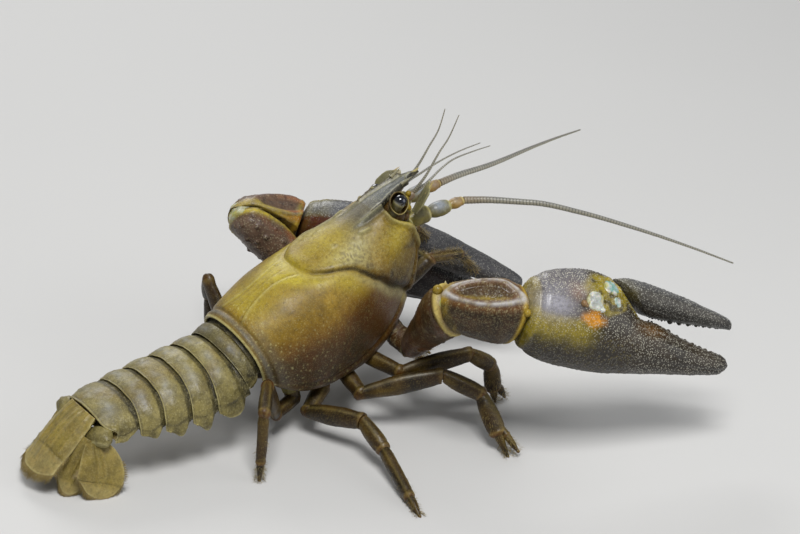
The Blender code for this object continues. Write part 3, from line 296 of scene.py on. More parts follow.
def granules(points, spacing, seed, share=1.0, size=0.42):
    """Rounded grains from 0 to 1 in height, on this share of the scattered centres."""
    distance, tag = grains(points, spacing, seed)
    radius = size * (0.6 + 0.5 * scatter((points * 0).astype(np.int64), seed) + 0.5 * tag)
    top = np.clip(1 - (distance / radius) ** 2, 0, 1)
    return np.where(tag < share, np.sqrt(top), 0.0)


def body(x, y, z):
    """A point of the carapace's frame in millimetres of the animal's frame."""
    return REAR_MARGIN + np.multiply.outer(
        x, FORWARD) + np.multiply.outer(y, LEFT) + np.multiply.outer(z, DORSAL)


def normals_of(points, closed):
    """Directions square to a grid of points."""
    along = np.gradient(points, axis=0)
    if closed:
        across = np.roll(points, -1, axis=1) - np.roll(points, 1, axis=1)
    else:
        across = np.gradient(points, axis=1)
    normal = np.cross(along, across)
    size = np.linalg.norm(normal, axis=-1, keepdims=True)
    return normal / np.maximum(size, 1e-9)


# Building pieces

MASKS = ("pale", "dark", "warm", "spot", "gold")


class Piece:
    """Grids and hairs gathered into one mesh, with the masks that its material reads."""

    def __init__(self, name):
        self.name = name
        self.points = []
        self.quads = []
        self.masks = []
        self.roots = []
        self.count = 0

    def grid(self, points, closed=False, outward=None, **masks):
        rows, columns = points.shape[:2]
        flip = False
        if outward is not None:
            facing = np.cross(points[1:, 1:] - points[:-1, :-1], points[:-1, 1:] - points[1:, :-1])
            flip = np.sum(facing * outward[:-1, :-1]) < 0
        index = np.arange(rows * columns).reshape(rows, columns) + self.count
        beside = np.roll(index, -1, axis=1) if closed else index[:, 1:]
        here = index if closed else index[:, :-1]
        faces = np.stack([here[:-1], here[1:], beside[1:], beside[:-1]], axis=-1)
        faces = faces.reshape(-1, 4)
        self.quads.append(faces[:, ::-1] if flip else faces)
        self.points.append(points.reshape(-1, 3))
        table = np.zeros((rows * columns, len(MASKS)))
        for name, value in masks.items():
            table[:, MASKS.index(name)] = np.broadcast_to(value, (rows, columns)).ravel()
        self.masks.append(table)
        self.count += rows * columns

    def finish(self, look, nodes, thick=0.0):
        mesh = bpy.data.meshes.new(self.name)
        points = np.concatenate(self.points)
        points[:, 2] = np.maximum(points[:, 2], 0.02)
        points = (points + PLACE) * MM
        quads = np.concatenate(self.quads)
        mesh.from_pydata(points.tolist(), [], quads.tolist())
        table = np.clip(np.concatenate(self.masks), 0, 1)
        for k, name in enumerate(MASKS):
            layer = mesh.attributes.new(name, "FLOAT", "POINT")
            layer.data.foreach_set("value", table[:, k].astype(np.float32))
        made = bpy.data.objects.new(self.name, mesh)
        bpy.context.scene.collection.objects.link(made)
        mesh.materials.append(LOOKS[look])
        mesh.shade_smooth()
        if self.roots:
            lay_out_hairs(mesh, np.array(self.roots), len(mesh.vertices) // len(self.roots))
        if thick:
            wall = made.modifiers.new("wall", "SOLIDIFY")
            wall.thickness = thick * MM
            wall.offset = -1
            wall.use_rim = True
        if nodes:
            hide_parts(*nodes)
        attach(made, "root")
        return made


def lay_out_hairs(mesh, roots, count):
    """Gives each hair a small patch at its root's place, round and along the body."""
    low, high = roots.min(axis=0), roots.max(axis=0)
    middle = (low + high) / 2
    turn = np.arctan2(roots[:, 1] - middle[1], roots[:, 2] + 20.0) / (2 * math.pi) + 0.5
    along = (roots[:, 0] - low[0]) / (high[0] - low[0])
    place = np.stack([0.02 + 0.95 * along, 0.02 + 0.95 * turn], axis=1)
    patch = np.array([((k % 3) / 2 * 0.003, (k // 3) / 2 * 0.003) for k in range(count)])
    table = (place[:, None] + patch[None]).reshape(-1, 2)
    layer = mesh.uv_layers.new(name="OFBake")
    corner = np.empty(len(mesh.loops), int)
    mesh.loops.foreach_get("vertex_index", corner)
    layer.data.foreach_set("uv", table[corner].astype(np.float32).ravel())


def ring_grid(centres, lines, side, depths, widths, around):
    """Rings about a line. Returns the points, the outward directions and the angles."""
    across = side - np.sum(side * lines, axis=1, keepdims=True) * lines
    across = across / np.linalg.norm(across, axis=1, keepdims=True)
    dorsal = np.cross(lines, across)
    angle = np.linspace(0, 2 * math.pi, around, endpoint=False)
    c, s = np.cos(angle), np.sin(angle)
    wide = across[:, None] * c[None, :, None]
    deep = dorsal[:, None] * s[None, :, None]
    points = centres[:, None] + wide * widths[:, None, None] + deep * depths[:, None, None]
    outward = wide * depths[:, None, None] + deep * widths[:, None, None]
    outward = outward / np.maximum(np.linalg.norm(outward, axis=-1, keepdims=True), 1e-9)
    return points, outward, angle


def segment(start, end, side, rows, around, rings, past):
    """A round-ended length of a limb. rows are (share, half depth, half width)."""
    start, end = np.asarray(start, float), np.asarray(end, float)
    length = np.linalg.norm(end - start)
    line = (end - start) / length
    turn = np.linspace(0, math.pi, rings)
    place = (-past[0]
            + (length + past[0] + past[1]) * (0.55 * (1 - np.cos(turn)) / 2 + 0.45 * turn / math.pi))
    share = place / length
    depths = profile([(r[0], r[1]) for r in rows], share)
    widths = profile([(r[0], r[2]) for r in rows], share)
    before = np.clip(-place / past[0], 0, 1)
    after = np.clip((place - length) / past[1], 0, 1)
    close = np.sqrt(np.clip(1 - before ** 2, 0.0004, 1)) * np.sqrt(np.clip(1 - after ** 2, 0.0004, 1))
    centres = start + place[:, None] * line
    lines = np.broadcast_to(line, centres.shape)
    points, outward, angle = ring_grid(
        centres, lines, np.asarray(side, float), depths * close, widths * close, around)
    return points, outward, share[:, None], angle[None, :]


def smooth_route(points, count):
    """Points along a smooth curve through a route."""
    points = np.asarray(points, float)
    spans = np.linalg.norm(np.diff(points, axis=0), axis=1)
    places = np.concatenate(([0], np.cumsum(spans)))
    at = np.linspace(0, places[-1], count)
    return np.stack([profile(list(zip(places, points[:, k])), at) for k in range(3)], axis=1), places[-1]


def tube_along(route, radius, around, count):
    """A tube along a route, with radius a function of the share of its length."""
    centres, _ = smooth_route(route, count)
    lines = np.gradient(centres, axis=0)
    lines = lines / np.linalg.norm(lines, axis=1, keepdims=True)
    share = np.linspace(0, 1, count)
    radii = radius(share)
    points, outward, _ = ring_grid(centres, lines, UP, radii, radii, around)
    return points, outward, share[:, None]


def hairs(piece, roots, tips, radius):
    """Thin tapered hairs, three sided."""
    roots, tips = np.asarray(roots, float), np.asarray(tips, float)
    lines = tips - roots
    lines = lines / np.linalg.norm(lines, axis=1, keepdims=True)
    first = np.cross(lines, UP + 0.01)
    first = first / np.linalg.norm(first, axis=1, keepdims=True)
    second = np.cross(lines, first)
    middle = (roots + tips) / 2
    rings = []
    for centre, share in ((roots, 1.0), (middle, 0.7), (tips, 0.12)):
        for k in range(3):
            angle = 2 * math.pi * k / 3
            rings.append(centre + (first * math.cos(angle) + second * math.sin(angle)) * radius * share)
    piece.roots.extend(roots)
    points = np.stack(rings, axis=1).reshape(len(roots), 3, 3, 3)
    for start in range(len(roots)):
        piece.grid(points[start], closed=True)


def balls(piece, centres, radii, **masks):
    """Small rounded teeth or knobs."""
    for centre, radius in zip(centres, radii):
        turn = np.linspace(0, math.pi, 7)
        lines = np.broadcast_to(UP, (7, 3))
        size = np.maximum(np.sin(turn), 0.02) * radius
        points, _, _ = ring_grid(
            centre - UP * np.cos(turn)[:, None] * radius, lines, LEFT + 0.1, size, size, 10)
        piece.grid(points, closed=True, **masks)


def thorn(piece, root, tip, radius, **masks):
    """A curved spine that grows out of a surface."""
    root, tip = np.asarray(root, float), np.asarray(tip, float)
    share = np.linspace(0, 1, 7)
    centres = root + (tip - root) * share[:, None]
    lines = np.broadcast_to(unit(tip - root), centres.shape)
    size = radius * (1 - share) ** 0.8 + 0.03
    points, _, _ = ring_grid(centres, lines, LEFT + UP * 0.3, size, size, 10)
    piece.grid(points, closed=True, **masks)


# Materials

def srgb(red, green, blue):
    """A colour given as it looks on a screen, 0 to 255, in the renderer's terms."""
    return tuple(((v / 255 + 0.055) / 1.055) ** 2.4 for v in (red, green, blue)) + (1.0,)


class Graph:
    """A material's nodes, wired by short calls."""

    def __init__(self, name):
        self.material = bpy.data.materials.new(name)
        self.material.use_nodes = True
        self.tree = self.material.node_tree
        self.shader = self.tree.nodes["Principled BSDF"]
        place = self.tree.nodes.new("ShaderNodeTexCoord")
        self.place = place.outputs["Object"]

    def link(self, source, target):
        self.tree.links.new(source, target)

    def noise(self, scale, detail=3.0, rough=0.55, warp=0.0):
        node = self.tree.nodes.new("ShaderNodeTexNoise")
        node.inputs["Scale"].default_value = scale
        node.inputs["Detail"].default_value = detail
        node.inputs["Roughness"].default_value = rough
        node.inputs["Distortion"].default_value = warp
        self.link(self.place, node.inputs["Vector"])
        return node.outputs["Fac"]

    def cells(self, scale):
        node = self.tree.nodes.new("ShaderNodeTexVoronoi")
        node.inputs["Scale"].default_value = scale
        self.link(self.place, node.inputs["Vector"])
        return node.outputs["Distance"]

    def mask(self, name):
        node = self.tree.nodes.new("ShaderNodeAttribute")
        node.attribute_name = name
        return node.outputs["Fac"]

    def steps(self, value, low, high, start=0.0, end=1.0):
        node = self.tree.nodes.new("ShaderNodeMapRange")
        node.interpolation_type = "SMOOTHSTEP"
        for key, number in (("From Min", low), ("From Max", high), ("To Min", start), ("To Max", end)):
            node.inputs[key].default_value = number
        self.link(value, node.inputs["Value"])
        return node.outputs["Result"]

    def maths(self, kind, first, second):
        node = self.tree.nodes.new("ShaderNodeMath")
        node.operation = kind
        node.use_clamp = kind != "SUBTRACT"
        for socket, value in zip(node.inputs, (first, second)):
            if isinstance(value, (int, float)):
                socket.default_value = value
            else:
                self.link(value, socket)
        return node.outputs[0]

    def mix(self, factor, first, second, kind="MIX"):
        node = self.tree.nodes.new("ShaderNodeMix")
        node.data_type = "RGBA"
        node.blend_type = kind
        for socket, value in ((node.inputs[0], factor), (node.inputs[6], first), (node.inputs[7], second)):
            if isinstance(value, (int, float, tuple)):
                socket.default_value = value
            else:
                self.link(value, socket)
        return node.outputs[2]

    def bump(self, height, strength, distance, after=None):
        node = self.tree.nodes.new("ShaderNodeBump")
        node.inputs["Strength"].default_value = strength
        node.inputs["Distance"].default_value = distance * MM
        self.link(height, node.inputs["Height"])
        if after is not None:
            self.link(after, node.inputs["Normal"])
        return node.outputs["Normal"]

    def set(self, **values):
        for name, value in values.items():
            self.shader.inputs[name.replace("_", " ")].default_value = value


def shell_look(name, colours, rough=(0.34, 0.56), grain=0.55, coat=0.16, speckle=0.2, soft=0.0, beads=0.0,
               shine=0.4, grit=0.0):
    """Wet crustacean shell: mottled colour, masks for the coloured places, grains, pits and dust.

    With beads, the mask named pale comes out as close-set round grains, this many in a metre. Grit is how
    strongly finer grains show all over.
    """
    g = Graph(name)
    base, second, deep, pale, warm, spot, gold = (srgb(*colour) for colour in colours)
    broad = g.steps(g.noise(70.0, 4.0, 0.6, 0.6), 0.36, 0.66)
    fine = g.noise(420.0, 5.0, 0.65)
    colour = g.mix(broad, base, second)
    colour = g.mix(g.steps(fine, 0.35, 0.75, 0.0, 0.4), colour, deep)
    mottled = g.steps(g.noise(210.0, 4.0, 0.7, 1.2), 0.3, 0.7)
    gold_at = g.maths("MULTIPLY", g.mask("gold"), g.steps(mottled, 0.0, 1.0, 0.65, 1.0))
    colour = g.mix(gold_at, colour, gold)
    warm_at = g.maths("MULTIPLY", g.mask("warm"), g.steps(mottled, 0.0, 1.0, 0.72, 1.0))
    colour = g.mix(warm_at, colour, warm)
    dark_at = g.maths("MULTIPLY", g.mask("dark"), g.steps(mottled, 0.0, 1.0, 1.0, 0.7))
    colour = g.mix(dark_at, colour, deep)
    colour = g.mix(g.mask("spot"), colour, spot)
    pale_at = g.maths("MULTIPLY", g.mask("pale"), g.steps(fine, 0.2, 0.8, 1.0, 0.75))
    if beads:
        dots = g.steps(g.cells(beads), 0.24, 0.42, 1.0, 0.0)
        pale_at = g.maths("MULTIPLY", g.mask("pale"), dots)
    colour = g.mix(pale_at, colour, pale)
    specks = g.steps(g.cells(1150.0), 0.12, 0.24, 1.0, 0.0)
    here = g.steps(g.noise(150.0, 2.0, 0.5), 0.48, 0.72, 0.0, speckle)
    colour = g.mix(g.maths("MULTIPLY", specks, here), colour, pale)
    dirt = g.steps(g.noise(1300.0, 3.0, 0.7), 0.42, 0.8, 0.0, 0.45)
    colour = g.mix(dirt, colour, deep)
    if grit:
        sand = g.steps(g.cells(2500.0), 0.2, 0.44, 1.0, 0.0)
        colour = g.mix(g.maths("MULTIPLY", sand, grit), colour, pale)
    g.link(colour, g.shader.inputs["Base Color"])
    gloss = g.steps(g.noise(260.0, 4.0, 0.7), 0.3, 0.7, rough[0], rough[1])
    g.link(gloss, g.shader.inputs["Roughness"])
    pitted = g.steps(g.cells(2300.0), 0.0, 0.4, 0.0, 1.0)
    normal = g.bump(pitted, 0.5, 0.06)
    normal = g.bump(fine, grain, 0.14, normal)
    normal = g.bump(g.noise(2600.0, 2.0, 0.6), 0.35, 0.04, normal)
    if beads:
        normal = g.bump(dots, 0.6, 0.1, normal)
    if grit:
        normal = g.bump(sand, 0.5, 0.05, normal)
    g.link(normal, g.shader.inputs["Normal"])
    g.set(Coat_Weight=coat, Coat_Roughness=0.2, Specular_IOR_Level=shine)
    if soft:
        g.set(Subsurface_Weight=soft, Subsurface_Scale=0.0012)
        g.shader.inputs["Subsurface Radius"].default_value = (1.0, 0.5, 0.2)
    return g.material


def eye_look():
    g = Graph("eye")
    facets = g.cells(5200.0)
    ring = g.mask("pale")
    colour = g.mix(g.steps(facets, 0.0, 0.5), srgb(20, 24, 40), srgb(7, 8, 13))
    colour = g.mix(g.steps(g.noise(500.0), 0.45, 0.7, 0.0, 0.5), colour, srgb(38, 50, 84))
    colour = g.mix(ring, colour, srgb(166, 160, 132))
    g.link(colour, g.shader.inputs["Base Color"])
    g.link(g.bump(facets, 0.12, 0.01), g.shader.inputs["Normal"])
    g.link(g.steps(g.noise(900.0), 0.3, 0.7, 0.05, 0.14), g.shader.inputs["Roughness"])
    g.set(Coat_Weight=0.8, Coat_Roughness=0.04)
    return g.material


def hair_look(name, root, tip):
    g = Graph(name)
    colour = g.mix(g.noise(300.0, 3.0), root, tip)
    g.link(colour, g.shader.inputs["Base Color"])
    g.link(g.steps(g.noise(700.0), 0.3, 0.7, 0.42, 0.6), g.shader.inputs["Roughness"])
    return g.material


def feeler_look(name, first, second, edge):
    """Ringed feelers: the mask named dark holds the rings."""
    g = Graph(name)
    colour = g.mix(g.noise(400.0, 3.0), first, second)
    colour = g.mix(g.mask("dark"), colour, edge)
    colour = g.mix(g.mask("pale"), colour, srgb(196, 186, 150))
    colour = g.mix(g.mask("warm"), colour, srgb(126, 96, 44))
    colour = g.mix(g.mask("spot"), colour, srgb(120, 132, 148))
    g.link(colour, g.shader.inputs["Base Color"])
    g.link(g.steps(g.noise(900.0), 0.3, 0.7, 0.3, 0.5), g.shader.inputs["Roughness"])
    g.link(g.bump(g.noise(1500.0, 3.0), 0.4, 0.05), g.shader.inputs["Normal"])
    g.set(Coat_Weight=0.25, Coat_Roughness=0.15)
    return g.material


# Colours of each shell: two mottled ones, the deep one, then those of the masks pale, warm, spot and gold
SHELL_LOOKS = {
    "shell": (
        "carapace shell",
        (
            (146, 116, 32), (120, 92, 22), (42, 29, 8), (206, 200, 138), (98, 52, 6), (74, 82, 86),
            (178, 160, 44)),
        dict(coat=0.06, shine=0.3, grit=0.1)),
    "rostrum": (
        "rostrum shell",
        (
            (112, 102, 70), (90, 86, 66), (15, 13, 10), (200, 194, 150), (146, 118, 40), (86, 94, 100),
            (176, 154, 48)),
        dict(coat=0.15, grit=0.12)),
    # The tail's spot colour is a painted bluish sheen.
    "tail": (
        "tail shell",
        (
            (138, 126, 72), (106, 95, 50), (32, 28, 14), (198, 188, 136), (128, 98, 40), (170, 176, 184),
            (150, 136, 64)),
        dict(rough=(0.36, 0.62), grain=0.8, coat=0.06, speckle=0.3, grit=0.14)),
    "fan": (
        "tail fan",
        (
            (146, 128, 62), (114, 98, 44), (50, 42, 16), (192, 178, 122), (150, 120, 58), (120, 112, 84),
            (162, 142, 58)),
        dict(rough=(0.42, 0.64), grain=0.7, coat=0.06, soft=0.1, grit=0.12)),
    # The claw's spot colour is a painted silvery sheen on the palm.
    "claw": (
        "claw shell",
        (
            (62, 49, 31), (43, 35, 23), (17, 13, 7), (198, 194, 176), (220, 146, 16), (158, 156, 164),
            (160, 142, 34)),
        dict(rough=(0.26, 0.44), grain=0.5, beads=2300.0)),
    "finger": (
        "movable finger shell",
        (
            (80, 76, 68), (60, 56, 50), (22, 19, 16), (192, 190, 178), (150, 92, 40), (110, 112, 118),
            (164, 150, 60)),
        dict(grain=0.5, beads=2300.0)),
    # The far claw's colours are darkened as if in shade: painted shade over its own red underside.
    "shaded far claw": (
        "shaded far claw shell",
        (
            (50, 44, 40), (36, 32, 31), (16, 13, 14), (168, 166, 156), (80, 18, 8), (104, 106, 112),
            (156, 144, 58)),
        dict(grain=0.6, beads=2300.0)),
    # The arm's spot colour is a painted highlight on the rims of the wrist segment's groove.
    "arm": (
        "arm shell",
        (
            (96, 66, 26), (70, 47, 20), (26, 19, 9), (206, 198, 150), (134, 66, 14), (184, 180, 184),
            (196, 166, 42)),
        dict(coat=0.2, shine=0.3, grit=0.1)),
    # The far arm's colours are made lighter because the lamps light its side less: painted light. Its spot
    # colour is a painted highlight on the wrist segment's rims.
    "brightened far arm": (
        "brightened far arm shell",
        (
            (136, 108, 84), (102, 80, 64), (36, 28, 30), (172, 160, 126), (172, 88, 20), (98, 94, 112),
            (186, 166, 54)),
        dict(coat=0.1, beads=2000.0, shine=0.3)),
    "leg": (
        "leg shell",
        (
            (58, 44, 13), (41, 31, 9), (18, 13, 5), (172, 152, 84), (128, 76, 16), (80, 82, 90),
            (120, 98, 26)),
        dict(coat=0.15, shine=0.3, grit=0.1)),
    # The soft parts' spot colour is the feeler stem's blue-grey, which carries a painted sheen on its upper
    # side.
    "soft": (
        "soft parts",
        (
            (140, 128, 52), (104, 94, 38), (38, 32, 16), (200, 190, 128), (172, 110, 30), (140, 150, 166),
            (168, 152, 52)),
        dict(coat=0.25, soft=0.1)),
    "blade": (
        "feeler scale",
        (
            (112, 108, 74), (84, 82, 60), (38, 36, 26), (172, 166, 120), (130, 100, 44), (110, 116, 118),
            (140, 128, 60)),
        dict()),
    "membrane": (
        "joint skin",
        (
            (206, 204, 194), (172, 178, 170), (92, 98, 96), (232, 232, 226), (190, 120, 60),
            (116, 168, 158), (172, 164, 62)),
        dict(coat=0.4, soft=0.3))}


def make_looks():
    looks = {key: shell_look(title, colours, **more) for key, (title, colours, more) in SHELL_LOOKS.items()}
    looks["feeler"] = feeler_look("feelers", srgb(146, 144, 132), srgb(112, 112, 110), srgb(32, 31, 35))
    looks["hair"] = hair_look("bristles", srgb(104, 84, 36), srgb(166, 148, 92))
    looks["eye"] = eye_look()
    return looks


# Carapace

def section(x, share):
    """Points of the carapace in its own frame. share runs from 0 on top to 1 below, signed by side."""
    x, share = np.broadcast_arrays(np.asarray(x, float), np.asarray(share, float))
    wide = profile(HALF_WIDTH, x)
    top = profile(TOP, x)
    widest = profile(WIDEST, x)
    low = profile(LOW_EDGE, x)
    under = profile(UNDER_REACH, x)
    last = np.arccos(np.clip((low - widest) / under, -0.98, 0.98))
    angle = np.abs(share) * last
    y = np.sign(share) * wide * np.sin(angle)
    z = np.where(
        angle < math.pi / 2, widest + (top - widest) * np.cos(angle), widest + under * np.cos(angle))
    return x, y, z


def carapace_relief(x, y, share):
    """Height of the grooves, ridges and rims, and the places that the colours follow."""
    side = np.abs(share)
    width = np.abs(y)
    groove_x = profile(CERVICAL_GROOVE, side)
    behind = x - groove_x
    deep = 0.55 + 0.45 * ease(0.3, 0.6, side)
    height = (-0.75 * bell(behind, 0.5) * deep - 0.35 * bell(behind + 1.2, 1.6) * deep
            + 0.25 * bell(behind - 1.9, 1.5))
    areola = width - profile(AREOLA_LINE, x)
    in_back = ease(1.5, 3.5, x) * ease(0.5, 2.5, -behind)
    height = height - 0.16 * bell(areola, 0.3) * in_back + 0.1 * bell(areola - 0.7, 0.4) * in_back
    height = height - 0.07 * bell(y, 0.16) * in_back
    rear = bell(x - 2.3, 0.4) * (side < 0.98)
    height = height - 0.4 * rear + 0.35 * (1 - ease(1.0, 1.9, x))
    low_rim = ease(0.955, 0.975, side)
    height = height - 0.3 * bell(side - 0.95, 0.008) * ease(3, 8, x) + 0.2 * low_rim
    ridge_y = profile(((30, 3.4), (36, 4.6), (42, 5.5), (45.5, 5.9)), x)
    on_ridge = (ease(36.8, 38.4, x) * (1 - ease(39.6, 41.6, x))
            + 0.3 * ease(29.5, 30.8, x) * (1 - ease(31.6, 33.0, x)))
    ridge = bell(width - ridge_y, 0.4) * on_ridge
    height = height + 0.5 * ridge - 0.2 * bell(width - ridge_y - 1.0, 0.5) * on_ridge
    edge_y = profile(((36, 2.5), (42, 2.85), (46.5, 3.0)), x)
    edge = bell(width - edge_y, 0.5) * ease(36.5, 42.0, x)
    height = (height + 0.8 * edge * ease(37, 46.5, x)
            - 0.35 * bell(width - edge_y - 1.1, 0.5) * ease(37.0, 42.0, x))
    margin = profile(FRONT_MARGIN, side)
    orbit = bell(margin - x - 0.4, 0.4) * ease(0.2, 0.26, side)
    height = height + 0.35 * orbit - 0.3 * bell(margin - x - 1.5, 0.4) * ease(0.26, 0.34, side)
    return height, dict(
        behind=behind, areola=areola, ridge=ridge, edge=edge, in_back=in_back, edge_side=width - edge_y,
        orbit=orbit)


def make_carapace():
    rows, columns = 226, 231
    shares = np.linspace(-1, 1, columns)
    margins = profile(FRONT_MARGIN, np.abs(shares))
    along = np.linspace(0, 1, rows)[:, None]
    x, y, z = section(along * margins[None, :], shares[None, :])
    points = body(x, y, z)
    outward = normals_of(points, False)
    share = np.broadcast_to(shares, x.shape)
    height, parts = carapace_relief(x, y, share)
    side = np.abs(share)
    head = ease(0.4, 2.5, parts["behind"])
    wrinkles = 1 - np.abs(waves(points * np.array((1.3, 1.0, 0.7)), 0.8, 5))
    patch = bell((x - 31.0) / 6.5, 1.0) * bell((side - 0.34) / 0.2, 1.0) * head
    height = height + 0.09 * patch * ease(0.5, 0.98, wrinkles)
    cheek = head * ease(0.28, 0.5, side)
    bumps = granules(points, 0.62, 11, 0.8, 0.42)
    height = height + 0.06 * (0.3 + 0.7 * cheek) * head * bumps
    flank = (1 - head) * ease(0.15, 0.5, side)
    small = granules(points, 0.6, 31, 0.45, 0.34)
    height = height + 0.05 * (0.4 + 0.6 * flank) * small + 0.1 * waves(points, 5.0, 3) * (0.4 + side)
    points = points + outward * height[..., None]
    behind = parts["behind"]
    # Darker towards the lower flank: painted shade.
    dark = (0.95 * ease(0.55, 0.86, side) * ease(-3, 9, x) * (1 - 0.5 * head)
            * (1 - 0.45 * ease(24, 34, x) * (1 - head)))
    # Painted shade: dark in the cervical groove, and in a broad band on the raised slope just ahead of it,
    # uneven along its length.
    dark = dark + 0.9 * bell(behind - 0.3, 0.6) * ease(0.1, 0.3, side)
    uneven_shade = 0.6 + 0.4 * waves(points, 1.2, 16)
    dark = dark + 0.75 * bell(behind - 1.8, 2.2) * (0.3 + 0.7 * ease(0.2, 0.5, side)) * uneven_shade
    dark = dark + 0.95 * bell(parts["edge_side"] - 0.5, 0.55) * ease(36.5, 39.5, x)
    dark = dark + 0.4 * bell(np.abs(parts["ridge"] - 0.35), 0.2) * (parts["ridge"] > 0.1)
    dark = dark + 0.5 * bell((x - 45.5) / 2.2, 1.0) * bell((side - 0.42) / 0.1, 1.0)
    dark = (dark + 0.25 * bell(parts["areola"] + 0.15, 0.25) * parts["in_back"]
            + 0.2 * bell(y, 0.22) * parts["in_back"])
    dark = dark + 0.6 * ease(0.3, 0.75, waves(points, 3.2, 6)) * cheek * ease(0.5, 0.8, side)
    specks = granules(points, 0.85, 131, 0.6, 0.24)
    streaked = 0.7 + 0.3 * waves(points, 1.0, 18)
    # Pale band just behind the cervical groove: pale green-grey colour with a painted highlight on it.
    pale = (0.5 * bell(behind + 1.3, 1.1) * (0.5 + 0.5 * ease(0.3, 0.6, side)) * streaked
            + 0.3 * parts["ridge"])
    pale = (pale
            + 0.4 * specks * (1 - head) * (0.3 + 0.7 * ease(0.3, 0.7, side)) * ease(0.5, -0.5, (x - 22) / 10))
    pale = (pale + 0.6 * (1 - ease(0.35, 0.6, x)) + 0.16 * bumps * cheek
            + 0.25 * small * flank * ease(-0.1, 0.5, waves(points, 6.0, 8)))
    pale = pale + 0.4 * patch * ease(0.4, 1.0, wrinkles) + 0.3 * parts["orbit"] + 0.2 * parts["edge"]
    pale = pale + 0.3 * bell(parts["areola"] - 0.6, 0.3) * parts["in_back"]
    pale = (pale + 0.22 * head * bell(x - 36.0, 5.5) * bell(side - 0.3, 0.14)
            + 0.3 * specks * bell(x - 4.0, 3.0))
    warm = (ease(0.42, 0.8, side) * ease(1, 9, x) * (0.95 - 0.55 * head)
            + 0.5 * head * bell(x - 26, 4.5) * bell(side - 0.12, 0.1))
    gold = (0.75 * bell(y, 7.0) * ease(2, 6, x) * (1 - 0.8 * ease(32, 42, x))
            + 0.85 * head * bell(side - 0.62, 0.22) * ease(36, 46, x))
    gold = gold + 0.5 * head * bell(x - 27, 5) * bell(side - 0.16, 0.14)
    gold = gold + 0.6 * bell(behind + 3.5, 2.5) * (1 - ease(0.6, 0.9, side))
    spot = (0.6 * bell(x - 1.5, 0.75) + 0.55 * patch * (1 - wrinkles)
            + 0.35 * bell(x - 3.8, 1.5) * ease(0.1, 0.5, side))
    spot = spot + 0.7 * head * ease(0.34, 0.1, side) * ease(33, 42, x)
    spot = spot + 0.3 * head * bell(x - 36.0, 5.0) * bell(side - 0.3, 0.12)
    piece = Piece("carapace_shell")
    piece.grid(points, outward=outward, pale=pale, dark=dark, warm=warm, spot=spot, gold=gold)
    piece.finish("shell", ["carapace"], thick=0.7)


def make_rostrum():
    """The rostrum, drawn on from the head between the eyes, with its raised edges and three points."""
    rows, columns = 116, 65
    across = np.linspace(-1, 1, columns)[None, :]
    x = np.linspace(43.5, 60.0, rows)[:, None]
    wide = np.where(x < ORBIT_X, 3.4, profile(ROSTRUM_HALF_WIDTH, x))
    y = wide * across
    half = profile(HALF_WIDTH, x)
    widest = profile(WIDEST, x)
    on_head = widest + (profile(TOP, x) - widest) * np.sqrt(1 - (y / half) ** 2) + 0.04
    free = profile(ROSTRUM_TOP, x) - 0.68 * across ** 2 * np.minimum(1.0, wide / 3.4)
    z = np.where(x < ORBIT_X, on_head, free)
    edge_y = np.where(x < ORBIT_X, profile(((42, 2.8), (46.5, 2.8)), x), wide - 0.6)
    rim = bell(np.abs(y) - edge_y, 0.5) * np.minimum(1.0, wide / 2.2)
    rise = 0.8 * rim * ease(37, 46.5, x) - 0.12 * (1 - ease(43.5, 44.2, x))
    keel = 0.25 * bell(y, 0.4) * ease(50, 54, x)
    points = body(x + 0 * y, y, z)
    outward = normals_of(points, False)
    fine = granules(points, 0.5, 17, 0.8, 0.4)
    points = points + outward * (rise + keel * (wide > 1.0) + 0.05 * fine)[..., None]
    outer = ease(-0.3, -0.05, np.abs(y) - edge_y)
    dark = 0.95 * outer + 0.2 * bell(np.abs(y) - edge_y + 0.9, 0.3)
    below = (points[:, ::-1]
            - DORSAL * (0.35 + 1.5 * (1 - across[:, ::-1] ** 2) * np.minimum(1.0, wide / 3.0))[..., None])
    ring = np.concatenate([points, below[:, 1:-1]], axis=1)
    lower = np.zeros((rows, columns - 2))
    piece = Piece("rostrum")
    piece.grid(
        ring, closed=True, outward=np.concatenate([outward, -outward[:, 1:-1]], axis=1),
        dark=np.concatenate([dark, lower + 0.6], axis=1),
        # Painted highlight: a pale line along the inner side of each raised edge.
        pale=np.concatenate([0.35 * bell(np.abs(y) - edge_y + 0.6, 0.2) + 0.2 * fine, lower], axis=1),
        gold=np.concatenate([0.7 * ease(57.5, 59.5, x) + 0 * y, lower], axis=1),
        warm=np.concatenate([0.5 * (1 - ease(43.5, 49.0, x)) * (1 - outer), lower], axis=1),
        spot=np.concatenate([0.6 * (1 - rim) * (1 - outer), lower], axis=1))
    for _, sign in SIDES:
        thorn(piece, body(53.6, sign * 2.0, 1.7), body(56.9, sign * 2.5, 2.1), 0.5, pale=0.25, dark=0.3)
    thorn(piece, body(58.2, 0.0, 0.7), body(60.6, 0.0, 0.95), 0.5, pale=0.3, gold=0.9)
    piece.finish("rostrum", [])


